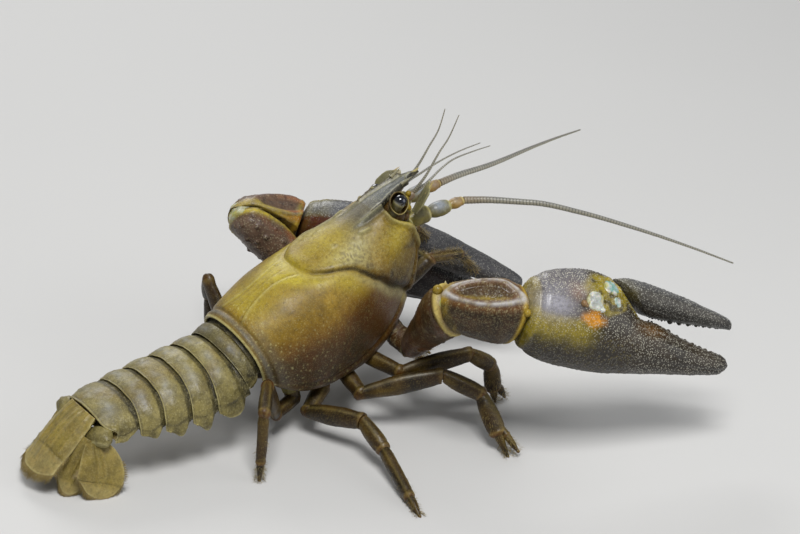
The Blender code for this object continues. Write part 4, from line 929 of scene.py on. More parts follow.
def make_socket(name, sign):
    """The hollow of the shell that an eye turns in, with its thickened rim."""
    outward_line = unit(FORWARD * 0.05 + LEFT * sign * 0.82 + DORSAL * 0.5)
    centre = body(*EYE_CENTRE[name]) - FORWARD * 0.35 - DORSAL * 0.3
    first = unit(np.cross(outward_line, UP))
    second = np.cross(outward_line, first)
    polar = np.linspace(0.5, 0.97, 40)[:, None] * math.pi
    turn = np.linspace(0, 2 * math.pi, 90)[None, :]
    radius = (2.3 + 0.2 * np.sin(turn) ** 2
            + 0.1 * waves(np.stack([np.cos(turn), np.sin(turn), 0 * turn], axis=-1), 0.7, 5))
    ring = first * np.cos(turn)[..., None] + second * np.sin(turn)[..., None]
    points = centre + (
        ring * np.sin(polar)[..., None] + outward_line * np.cos(polar)[..., None]) * radius[..., None]
    lower = 0.5 - 0.5 * (ring @ unit(DORSAL * 0.9 - FORWARD * 0.4))
    rim = ease(0.545, 0.51, polar / math.pi) * (0.15 + 0.85 * ease(0.1, 0.6, lower))
    rim = rim * (0.75 + 0.25 * waves(points, 0.8, 35))
    piece = Piece(f"eye_socket_{name}")
    # Dark and warm inside the hollow: painted shade; the rim stays pale.
    piece.grid(
        points, outward=centre - points, dark=0.85 * (1 - rim), warm=0.5 * (1 - rim), pale=0.45 * rim,
        gold=0.3 * rim)
    piece.finish("shell", [], thick=0.22)
    piece = Piece(f"eye_floor_{name}")
    # Dark brown balls behind the eye: a painted shadow at the back of the socket.
    balls(
        piece, [body(48.6, sign * 5.0, -2.6), body(50.0, sign * 5.3, -3.9), body(48.2, sign * 3.6, -1.4)],
        [2.1, 1.5, 2.0], dark=0.75, warm=0.6)
    balls(
        piece, [body(53.0, sign * 3.2, -1.9), body(54.4, sign * 2.6, -1.5), body(52.4, sign * 4.3, -3.6)],
        [0.9, 0.75, 0.8], gold=0.8, warm=0.4)
    piece.finish("shell", [])


# Abdomen and tail fan

def slope_frame(degrees):
    """Backward and outward directions of a length of the tail that slopes down by this much."""
    angle = math.radians(degrees)
    c, s = math.cos(angle), math.sin(angle)
    return np.array((-c, 0.0, -s)), np.array((-s, 0.0, c))


def abdomen_places():
    places = [ABDOMEN_START]
    for segment_size in ABDOMEN:
        back, _ = slope_frame(segment_size["slope"])
        places.append(places[-1] + back * segment_size["length"])
    return places


def make_abdomen():
    places = abdomen_places()
    for number, size in enumerate(ABDOMEN):
        after = ABDOMEN[min(number + 1, len(ABDOMEN) - 1)]
        before = ABDOMEN[max(number - 1, 0)]
        back, out = slope_frame(size["slope"])
        front = DORSAL if number == 0 else unit(slope_frame(before["slope"])[1] + out)
        rear = unit(slope_frame(after["slope"])[1] + out)
        middle_tilt = unit(front + rear)
        t = np.linspace(-0.3 if number else -0.55, 1.0, 56)[:, None]
        lean = np.clip(np.abs(2 * t - 1), 0, 1)
        end_tilt = np.where((t < 0.5)[..., None], front, rear)
        up = middle_tilt * (1 - lean[..., None]) + end_tilt * lean[..., None]
        up = up / np.linalg.norm(up, axis=-1, keepdims=True)
        share = np.linspace(-1, 1, 145)[None, :]
        side, sign = np.abs(share), np.sign(share)
        wide = size["half_width"] + (after["half_width"] - size["half_width"]) * np.clip(t - 0.5, 0, 1)
        tuck = ease(-0.04, 0.14, t)
        swell = 0.5 * np.sin(math.pi * np.clip(t, 0, 1)) - 0.4 * (1 - tuck)
        arch = size["arch"]
        hang = np.sin(math.pi * np.clip((t + 0.03) / 1.06, 0, 1)) ** 0.55
        lobe = (size["lobe"] + 0.3) * (0.06 + 0.94 * hang)
        angle = np.clip(side / 0.8, 0, 1) * math.pi / 2
        drop = np.clip((side - 0.8) / 0.2, 0, 1)
        y = sign * ((wide + swell) * np.sin(angle) - 0.7 * drop ** 2 + 0.35 * drop * (1 - drop) * 4)
        z = (arch + swell) * np.cos(angle) - arch - lobe * drop
        notch = TAIL_NOTCH * np.clip(t, 0, 1) ** 2 * bell(side - 0.68, 0.17) * (number == len(ABDOMEN) - 1)
        narrow = 0.44 * drop * (number > 1) + 0.25 * drop * (number == 1)
        along = 0.15 + (0.56 + (t - 0.56) * (1 - narrow)) * (size["length"] - 0.3) - notch
        along = along + LOBE_SWEEP[number] * (ease(0.25, 0.85, side) - 0.35 * drop ** 1.5)
        points = places[number] + along[..., None] * back + y[..., None] * LEFT + up * z[..., None]
        outward = LEFT * (sign * np.sin(angle))[..., None] + up * np.cos(angle)[..., None]
        rim = ease(0.945, 0.975, t)
        crease = bell(t - 0.1, 0.06) * (number > 0)
        fold = bell(side - 0.72 - 0.05 * np.sin(math.pi * np.clip(t, 0, 1)), 0.02)
        low_rim = bell(side - 0.975, 0.018)
        rough = ease(0.25, 0.6, side)
        bumps = granules(points, 0.6, 40 + number, 0.75, 0.36)
        dust = granules(points, 0.95, 60 + number, 0.5, 0.2)
        hollow = bell((side - 0.84) / 0.06, 1.0) * bell((t - 0.55) / 0.22, 1.0) * (number > 0)
        height = (
            0.12 * rim - 0.12 * crease - 0.13 * fold * ease(0.1, 0.3, t) + 0.2 * low_rim - 0.25 * hollow)
        height = (height + (0.03 + 0.07 * rough) * bumps + 0.16 * waves(points, 2.6, 9)
                + 0.07 * waves(points, 0.9, 19))
        points = points + outward * height[..., None]
        # Painted sheen: a pale bluish patch on each plate's upper side, given to the spot mask.
        gloss = bell(side - 0.22, 0.16) * bell(t - 0.6, 0.2) * (0.5 + 0.5 * waves(points, 1.2, 4))
        # Painted shade: dark in the crease, the fold and the hollow, over the front part tucked under the
        # plate ahead, and over the first plate under the carapace's edge.
        dark = 0.8 * crease + 0.4 * fold + 0.95 * (1 - ease(-0.05, 0.12, t)) + 0.4 * hollow
        dark = (dark + 0.4 * ease(0.0, 0.6, waves(points, 2.0, 14)) * (0.3 + 0.7 * rough)
                + 0.5 * bell(t - 0.93, 0.02))
        dark = dark + 0.5 * (number == 0)
        # Pale along the lobes' lower rims and the rear rim: a pale margin with a painted highlight on it.
        pale = (0.3 * rim * (0.4 + 0.6 * ease(0.2, 0.6, side)) + 0.75 * low_rim + 0.25 * rough * bumps
                + 0.2 * dust)
        warm = 0.2 * (1 - rough) * ease(0.0, 0.6, waves(points, 3.5, 24))
        piece = Piece(f"tail_plate_{number + 1}")
        piece.grid(
            points, outward=outward, pale=pale, dark=dark, spot=0.4 * gloss, warm=warm,
            gold=0.45 * drop + 0.15 * rim)
        belly = np.linspace(-1, 1, 41)[None, :]
        run = 0.15 + np.clip(t, 0, 1) * (size["length"] - 0.3) + LOBE_SWEEP[number] * belly ** 4
        flat = places[number] + run[..., None] * back + (wide * 0.87 * belly)[..., None] * LEFT
        flat = flat + up * (-arch * (0.72 + 0.1 * (1 - belly ** 2)))[..., None]
        piece.grid(flat, outward=-up + 0 * flat, warm=0.3, pale=0.4 * bell(t - 0.8, 0.12))
        if 0 < number < 5:
            add_swimmerets(piece, (places[number] + places[number + 1]) / 2, back, out, size)
        if number == len(ABDOMEN) - 1:
            reach = np.linspace(0, 1, 9)[:, None, None]
            rear_edge = points[-1] - back * 0.5
            middle = places[-1] - out * arch * 0.45 - back * 0.3
            wall = rear_edge * (1 - reach) + (middle + (rear_edge - middle) * 0.15) * reach - rear * 0.15
            piece.grid(wall, outward=back + 0 * wall, warm=0.4, dark=0.3)
        piece.finish("tail", [f"abdomen_{number + 1}"], thick=0.28)


def add_swimmerets(piece, middle, back, out, size):
    """A pair of two-branched flaps that hang under a segment."""
    for _, sign in SIDES:
        top = middle - out * (size["arch"] * 0.78 - 1.5) + LEFT * sign * size["half_width"] * 0.45
        for spread, share in ((0.9, 1.0), (-0.5, 0.88)):
            tip = top + (-out * 6.2 + back * 2.2 + LEFT * sign * (0.6 + spread)) * share
            rows = ((0, 0.6, 0.9), (0.35, 0.4, 0.7), (0.7, 0.35, 1.2), (1, 0.2, 0.7))
            points, outward, _, _ = segment(top, tip, LEFT, rows, 14, 22, (0.4, 0.4))
            piece.grid(points, closed=True, outward=outward, pale=0.5, warm=0.4)


def vane(piece, route, across, half_width, camber, rows, columns, rounding, suture, ribs, seed):
    """A thin plate along a route, arched across, with a rounded end, ribs, grains and a suture."""
    centres, _ = smooth_route(route, rows)
    lines = np.gradient(centres, axis=0)
    lines = lines / np.linalg.norm(lines, axis=1, keepdims=True)
    across = np.asarray(across, float)
    over = across - np.sum(across * lines, axis=1, keepdims=True) * lines
    over = over / np.linalg.norm(over, axis=1, keepdims=True)
    normal = np.cross(lines, over)
    normal = normal * np.where(normal[:, 2:] < 0, -1, 1)
    share = np.linspace(0, 1, rows)
    u = np.linspace(-1, 1, columns)[None, :]
    reach = share[:, None] * (1 - rounding * np.abs(u) ** 2.6)
    place = reach * (rows - 1)
    low = np.clip(np.floor(place).astype(int), 0, rows - 2)
    part = (place - low)[..., None]
    centre = centres[low] * (1 - part) + centres[low + 1] * part
    side = over[low] * (1 - part) + over[low + 1] * part
    lift = normal[low] * (1 - part) + normal[low + 1] * part
    wide = profile(half_width, reach)
    rise = np.broadcast_to(camber, (rows,))[:, None]
    points = centre + side * (wide * u)[..., None] + lift * (rise * (1 - u ** 2))[..., None]
    dust = granules(points, 0.6, seed, 0.7, 0.4)
    height = 0.05 * dust * (share[:, None] < 0.95) + 0.16 * waves(points, 2.4, seed)
    dark = 0.25 * bell(np.abs(u) - 0.3, 0.08)
    for k in range(ribs):
        height = height + 0.3 * bell(np.abs(u) - 0.14 - 0.5 * k, 0.07) * (1 - ease(0.6, 0.95, reach))
    if suture is not None:
        cut = bell(reach - suture - 0.03 * np.abs(u), 0.014)
        height = height - 0.16 * cut
        dark = dark + 0.3 * cut
    edge = bell(np.abs(u) - 1, 0.07) + bell(share[:, None] - 1, 0.03)
    points = points + lift * height[..., None]
    soft = ease(suture or 0.75, (suture or 0.75) + 0.12, reach)
    rays = ease(
        0.3, 0.9, np.abs(waves(np.stack([u * 9 + 0 * reach, reach * 1.5, 0 * reach], axis=-1), 1.0, 7)))
    piece.grid(
        points, outward=lift, dark=dark + 0.3 * soft * rays, pale=0.45 * edge + 0.3 * soft + 0.1 * dust,
        warm=0.5 * soft * (0.5 + 0.5 * waves(points, 1.2, 4)),
        gold=0.3 * ease(-0.2, 0.6, waves(points, 3.0, 15)))
    return points


def fringe(piece, points, length, start):
    """Hairs along the sides and the end of a vane."""
    rows, columns = points.shape[:2]
    rng = np.random.default_rng(3)
    roots, tips = [], []
    first = int(rows * start)
    inward = points[-6] - points[-1]
    for column in range(columns):
        for _ in range(5):
            slide = rng.uniform(-0.5, 0.5) * (
                points[-1, min(column + 1, columns - 1)] - points[-1, max(column - 1, 0)])
            root = points[-1, column] + slide
            line = unit(-inward[column]) + rng.normal(0, 0.10, 3) - UP * 0.15
            roots.append(root)
            tips.append(root + unit(line) * length * rng.uniform(0.7, 1.1))
    for row in range(first, rows):
        for column, inner in ((0, 4), (columns - 1, columns - 5)):
            for _ in range(2):
                root = (points[row, column]
                        + rng.uniform(-0.5, 0.5) * (points[row, column] - points[row - 1, column]))
                line = (unit(points[row, column] - points[row, inner])
                        + 0.8 * unit(points[row, column] - points[row - 3, column]))
                line = unit(line + rng.normal(0, 0.10, 3))
                roots.append(root)
                tips.append(
                    root + line * length * rng.uniform(0.5, 0.8)
                        * (0.5 + 0.5 * (row - first) / (rows - first)))
    roots, tips = np.array(roots), np.array(tips)
    tips[:, 2] = np.maximum(tips[:, 2], 0.12)
    roots[:, 2] = np.maximum(roots[:, 2], 0.15)
    hairs(piece, roots, tips, 0.055)


def make_tail_fan():
    end = abdomen_places()[-1]
    back, out = slope_frame(TELSON_SLOPE)
    start = end + back * 1.5 - out * 0.5
    route = [start + back * TELSON_LENGTH * t for t in (-0.07, 0.12, 0.4, 0.62, 0.85, 0.97)]
    hair = Piece("tail_fringe")
    piece = Piece("telson_plate")
    widths = ((0, 4.9), (0.12, 5.4), (0.4, 5.8), (0.62, 6.0), (0.66, 5.8), (0.88, 5.9), (1.0, 5.4))
    camber = profile(((0, 0.5), (0.15, 1.3), (0.5, 1.8), (1, 1.2)), np.linspace(0, 1, 86))
    points = vane(piece, route, LEFT, widths, camber, 86, 79, 0.13, 0.64, 2, 61)
    piece.finish("fan", ["telson"], thick=0.9)
    piece = Piece("telson_spines")
    notch = start + back * TELSON_LENGTH * 0.6
    for _, sign in SIDES:
        for reach, size in ((5.75, 0.3), (5.2, 0.24)):
            root = notch + LEFT * sign * reach - out * 0.25
            thorn(piece, root, root + LEFT * sign * 0.35 + back * 1.3, size, pale=0.3)
    piece.finish("fan", [])
    fringe(hair, points, 2.2, 0.66)
    for name, sign in SIDES:
        turn = np.array((1.0, sign, 1.0))
        inner = np.array((0.2, -0.5, 0.3)) * turn
        root, joint = np.array(UROPOD_ROOT) * turn + inner, np.array(UROPOD_JOINT) * turn + inner
        base = Piece(f"uropod_stem_{name}")
        ring, outward, share, _ = segment(
            root, joint, LEFT, ((0, 1.7, 3.0), (0.5, 1.9, 3.7), (1, 1.2, 3.6)), 60, 60, (1.4, 0.5))
        base.grid(
            ring + outward * (0.1 * granules(ring, 0.8, 70, 0.6))[..., None], closed=True, outward=outward,
            pale=0.4 * ease(0.9, 1.1, share))
        balls(
            base, [joint + np.array((0.9, -2.9, 0.7)) * turn, joint + np.array((-1.2, -2.2, -0.9)) * turn],
            [1.7, 1.6], dark=0.3)
        base.finish("tail", [f"uropod_{name}_base"])
        for plate, spine in UROPOD_SPINES.items():
            route = [np.array(p) * turn for p in spine]
            route[0] = (joint - (route[1] - joint) * 0.1
                    + np.array(UROPOD_ACROSS[plate]) * turn * (1.0 if plate == "inner" else 0.0))
            across = np.array(UROPOD_ACROSS[plate]) * turn
            sizes = UROPOD_HALF_WIDTHS[plate]
            more = 1.5 if plate == "inner" else 0.6
            widths = ((0, sizes[0] + more), (0.3, sizes[1] + more), (0.7, sizes[2] + 0.3), (1.0, sizes[3]))
            leaf = Piece(f"uropod_{plate}_plate_{name}")
            cut = 0.72 if plate == "outer" else None
            points = vane(
                leaf, route, across, widths, 0.6, 76, 69, 0.24 if cut is None else 0.3, cut, 1, 63)
            leaf.finish("fan", [f"uropod_{name}_{plate}"], thick=0.6)
            fringe(hair, points, 1.7, 0.6)
    hair.finish("hair", [])


# Claws and their arms

def fold_plane(before, joint, after):
    """The direction square to the flat faces where two lengths of a limb meet."""
    return unit(unit(np.subtract(joint, before)) + unit(np.subtract(after, joint)))


def hold_back(points, place, normal):
    """Presses what lies beyond a plane flat onto it."""
    beyond = np.clip((points - place) @ normal, 0, None)
    return points - beyond[..., None] * normal


def arm_spines(piece, start, end, side, table, sign, **masks):
    line = unit(np.subtract(end, start))
    across = unit(side - np.dot(side, line) * line)
    dorsal = np.cross(line, across)
    for share, degrees, reach, length, radius in table:
        angle = math.radians(degrees)
        out = across * math.cos(angle) + dorsal * math.sin(angle) * sign
        root = start + np.subtract(end, start) * share + out * (reach - 0.4)
        thorn(piece, root, root + (out + line * 0.55) * (length + 0.4), radius, **masks)


def claw_surface(table, frame, rows, around, bulge):
    """A claw's half as a fine grid, with the place along and across of every point and its angle."""
    wrist, along, across, face, size = frame
    knot = np.linspace(0, len(table) - 1, rows)

    def through(pick):
        return profile([(i, pick(row)) for i, row in enumerate(table)], knot)

    low = np.stack([through(lambda r: r[0][0]), through(lambda r: r[0][1])], axis=1)
    high = np.stack([through(lambda r: r[1][0]), through(lambda r: r[1][1])], axis=1)
    thick = through(lambda r: r[2])
    ends = np.minimum(np.arange(rows), np.arange(rows)[::-1])
    close = np.sin(np.clip(ends / 5.0, 0.02, 1) * math.pi / 2)
    angle = np.linspace(0, 2 * math.pi, around, endpoint=False)
    c, s = np.cos(angle), np.sin(angle)
    middle, half = (low + high) / 2, (high - low) / 2 * close[:, None]
    first = np.arange(rows) < rows / 2
    middle[:, 0] = middle[:, 0] - np.where(first, bulge, 0.0) * (1 - close)
    flat = middle[:, None] + half[:, None] * c[None, :, None]
    lift = s[None, :] * (thick * close)[:, None] * np.where(s > 0, 1.08, 0.92)[None, :]
    points = wrist + (
        (flat[..., 0, None] + 0.15) * along + flat[..., 1, None] * across + lift[..., None] * face) * size
    width = np.linalg.norm(half, axis=1)[:, None]
    outward = across * (c * thick[:, None])[..., None] + face * (s * width)[..., None]
    outward = outward / np.maximum(np.linalg.norm(outward, axis=-1, keepdims=True), 1e-9)
    return points, outward, flat[..., 0], flat[..., 1], np.broadcast_to(
        c, flat.shape[:2]), np.broadcast_to(s, flat.shape[:2])


def claw_frame(name):
    arm = CLAW_ARMS[name]
    wrist, tip = np.array(arm["wrist"]), np.array(arm["tip"])
    along = unit(tip - wrist)
    across = np.array(arm["across"])
    across = unit(across - np.dot(across, along) * along)
    return wrist, along, across, np.cross(along, across) * arm["face"], arm["scale"]


def palm_height(x, w):
    """How far the palm's face stands out at a place along and across the claw."""
    places = [(row[0][0] + row[1][0]) / 2 for row in HAND_RINGS]
    low = profile([(p, row[0][1]) for p, row in zip(places, HAND_RINGS)], x)
    high = profile([(p, row[1][1]) for p, row in zip(places, HAND_RINGS)], x)
    thick = profile([(p, row[2]) for p, row in zip(places, HAND_RINGS)], x)
    share = np.clip((w - (low + high) / 2) / ((high - low) / 2), -1, 1)
    return 1.08 * thick * np.sqrt(1 - share ** 2)


def make_hand(name):
    frame = claw_frame(name)
    near = name == "right"
    grid = (336, 280) if near else (230, 196)
    points, outward, x, w, c, s = claw_surface(HAND_RINGS, frame, *grid, 0.8)
    finger = ease(26, 31, x)
    bumps = granules(points, 0.66, 71, 0.9, 0.3)
    fine = granules(points, 0.48, 83, 0.8, 0.3)
    upper = ease(-0.1, 0.6, c)
    smooth = bell((x - 5) / 5.0, 1.0) * bell((w - 3.5) / 3.4, 1.0) * (s > 0)
    rough = (0.45 + 0.55 * upper) * (1 - 0.7 * smooth) if near else ease(0.1, 0.6, c)
    ridge = bell(np.abs(s) - 0.97, 0.05) * finger
    height = 0.13 * bumps * rough + 0.05 * fine + 0.2 * waves(points, 6.5, 21) + 0.25 * ridge
    edge = bell(c + 1, 0.25) * ease(4, 8, x)
    height = (height + 0.12 * edge * granules(points, 1.2, 77, 0.9, 0.42)
            - 0.15 * bell(np.abs(s) - 0.82, 0.05) * finger)
    cuff = 1 - ease(1.0, 2.0, x)
    height = height + 0.3 * cuff - 0.25 * bell(x - 2.6, 0.5)
    hinge = np.hypot((x - 17.6) / 7.0, (w - 8.2) / 4.6) + 0.15 * waves(points, 2.5, 66)
    skin = np.minimum(
        np.hypot((x - 14.6) / 2.7, (w - 6.2) / 2.1), np.hypot((x - 19.2) / 2.6, (w - 10.4) / 1.7))
    lip = bell(c - 0.9, 0.09) * ease(17.5, 19.5, x) * ease(29.0, 27.0, x)
    if near:
        front = (s > 0) * 1.0
        lumps = granules(points, 1.7, 95, 0.9, 0.46)
        height = height + front * (0.4 * lip + 0.2 * bell(skin - 1.2, 0.2) - 0.5 * ease(1.05, 0.8, skin))
        height = height + front * 0.3 * lumps * ease(1.0, 0.7, hinge) * ease(1.1, 1.4, skin)
        low = ease(0.5, -4.0, w)
        pale = ((0.56 - 0.4 * low * (1 - finger)) * (1 - 0.75 * smooth) + 0.3 * ease(5.0, 8.0, w)
                + 0.12 * bumps)
        pale = pale * (1 - 0.6 * front * ease(1.0, 0.8, hinge)) + 0.35 * front * lip
        dark = (0.75 * ease(-1.0, -6.0, w) * (1 - finger) + 0.45 * finger * ease(0.6, -0.6, c)
                + 0.4 * ease(50, 55, x))
        dark = (dark + 0.8 * front * ease(0.1, 0.5, waves(points, 1.4, 33)) * ease(1.0, 0.8, hinge)
                + 0.25 * finger)
        # Painted sheen: silvery colour on the smooth patch of the palm and along its upper edge.
        spot = 0.95 * smooth + 0.35 * ease(5.5, 8.0, w) * (1 - ease(11, 15, x)) * (1 - cuff)
        blotch = np.hypot((x - 14.6) / 3.8, (w - 2.0) / 2.3) + 0.2 * waves(points, 1.1, 67)
        warm = 0.95 * ease(1.15, 0.3, blotch) * front
        warm = (warm + 0.15 * bell(x - 32, 4) * bell(w - 3.2, 1.6)
                + 0.25 * bell(x - 9.5, 2) * bell(w - 7.5, 2))
        gold = 0.85 * ease(2.2, 0.2, w) * ease(-7.5, -2.5, w) * (1 - ease(11, 19, x)) + 0.8 * cuff
        gold = (gold + 0.85 * front * ease(1.05, 0.8, hinge) + 0.9 * front * lip
                + 0.55 * bumps * low * (1 - finger))
    else:
        outside = ease(-0.1, 0.4, s)
        pale = 0.55 * ease(0.75, 0.95, c) + 0.1 * finger + 0.4 * outside * (1 - finger)
        dark = 0.35 * ease(0.9, 0.4, c) + 0.55 * finger * ease(0.9, 0.5, c)
        spot = 0.6 * ease(0.86, 0.98, c) * (1 - 0.5 * finger)
        warm = 0.95 * ease(0.97, 0.85, c) * (1 - 0.85 * finger) * (1 - 0.85 * outside)
        gold = 0.85 * bell((x - 3.0) / 3.0, 1.0) * bell(c - 0.7, 0.35) + 0.5 * cuff
    points = points + outward * height[..., None]
    piece = Piece(f"claw_hand_{name}")
    piece.grid(
        points, closed=True, outward=outward, pale=pale, dark=dark, spot=spot * (1 - 0.3 * bumps),
        warm=warm, gold=gold)
    add_teeth(piece, "hand", frame)
    piece.finish("claw" if near else "shaded far claw", [f"cheliped_{name}_hand"])
    if near:
        add_hinge_skin(frame)

    grid = (250, 190) if near else (174, 130)
    points, outward, x, w, c, s = claw_surface(FINGER_RINGS, frame, *grid, 1.6)
    bumps = granules(points, 0.52, 91, 0.95, 0.33)
    ridge = bell(np.abs(s) - 0.97, 0.06) * ease(27, 33, x) * (1 - ease(47, 52, x))
    height = 0.12 * bumps * (0.4 + 0.6 * ease(-0.1, 0.7, c)) + 0.15 * ridge + 0.14 * waves(points, 5.0, 22)
    height = height - 0.12 * bell(np.abs(s) - 0.8, 0.06) * ease(27, 33, x)
    points = points + outward * height[..., None]
    dark = 0.75 * ease(0.0, -0.6, c) + 0.75 * ease(49, 53.5, x)
    pale = (0.4 + 0.3 * ease(0, 0.8, c) + 0.12 * bumps) * (1 if near else 0.5)
    base = ease(29.0, 26.0, x + 0.45 * (w - 6.7))
    piece = Piece(f"claw_finger_{name}")
    piece.grid(
        points, closed=True, outward=outward, pale=pale, dark=dark * (1 - base),
        spot=0.3 * ease(0.2, 0.8, c), gold=0.15 * base)
    add_teeth(piece, "finger", frame)
    piece.finish("finger" if near else "shaded far claw", [f"cheliped_{name}_finger"])


def add_hinge_skin(frame):
    """The soft skin that shows beside the movable finger's hinge."""
    wrist, along, across, face, size = frame
    patches = (
        (14.4, 6.2, 2.5, 3.3, 0.0, 0.05), (16.2, 4.6, 1.5, 1.3, 0.1, 0.0),
        (19.2, 10.4, 2.6, 2.1, 0.85, 0.25), (20.6, 7.6, 1.6, 2.2, 0.5, 0.0))
    for number, (x, w, long, tall, blue, high) in enumerate(patches):
        piece = Piece(f"hinge_skin_{number + 1}")
        reach = np.linspace(0.02, 1, 40)[:, None]
        turn = np.linspace(0, 2 * math.pi, 64, endpoint=False)[None, :]
        circle = np.stack([np.cos(turn), np.sin(turn), 0 * turn + number], axis=-1)
        wobble = 1 + 0.3 * waves(circle, 0.9, 61) + 0.12 * waves(circle, 0.3, 62)
        at_x, at_w = x + long * reach * wobble * np.cos(turn), w + tall * reach * wobble * np.sin(turn)
        flat = np.stack([at_x, at_w, 0 * at_x], axis=-1)
        lump = 0.7 * np.abs(waves(flat, 1.5, 50 + number)) + 0.15 * waves(flat, 0.6, 52)
        lift = (palm_height(at_x, at_w) + high - 0.3 + (0.7 * lump + 0.45) * (1 - reach ** 2)
                - 0.5 * reach ** 4)
        points = wrist + (
            (at_x[..., None] + 0.15) * along + at_w[..., None] * across + lift[..., None] * face) * size
        piece.grid(
            points, closed=True, outward=face + 0 * points,
            spot=blue * ease(-0.3, 0.5, waves(flat, 1.1, 53)),
            gold=0.95 * ease(0.5, 0.85, reach + 0.2 * waves(flat, 0.7, 54)),
            pale=0.5 * ease(0.1, 0.4, lump), dark=0.35 * ease(0.08, -0.05, lump))
        piece.finish("membrane", [])
    piece = Piece("hinge_knob")
    knob = wrist + (
        11.6 * along + 5.0 * across + (palm_height(np.array(11.6), np.array(5.0)) - 0.1) * face) * size
    balls(piece, [knob, knob + along * 0.7 - across * 0.3], [0.85, 0.6], warm=0.5, pale=0.2)
    piece.finish("arm", [])


def add_teeth(piece, part, frame):
    wrist, along, across, _, size = frame
    edge, toward = FINGER_EDGES[part]
    places, radii = [], []
    for x in TOOTH_PLACES:
        w = float(profile(edge, x))
        radii.append(0.75 * TOOTH_RADIUS * (1.25 - (x - TOOTH_PLACES[0]) / 26.0) * size)
        places.append(wrist + (along * (x + 0.15) - across * toward * 0.15 + across * w) * size)
    for k, x in enumerate(np.arange(33.0, 53.0, 0.85)):
        w = float(profile(edge, x))
        radii.append((0.24 + 0.08 * math.sin(k * 2.1)) * size)
        places.append(wrist + (along * x + across * (w - toward * 0.05)) * size)
    balls(piece, places, radii, pale=0.25, dark=0.2)


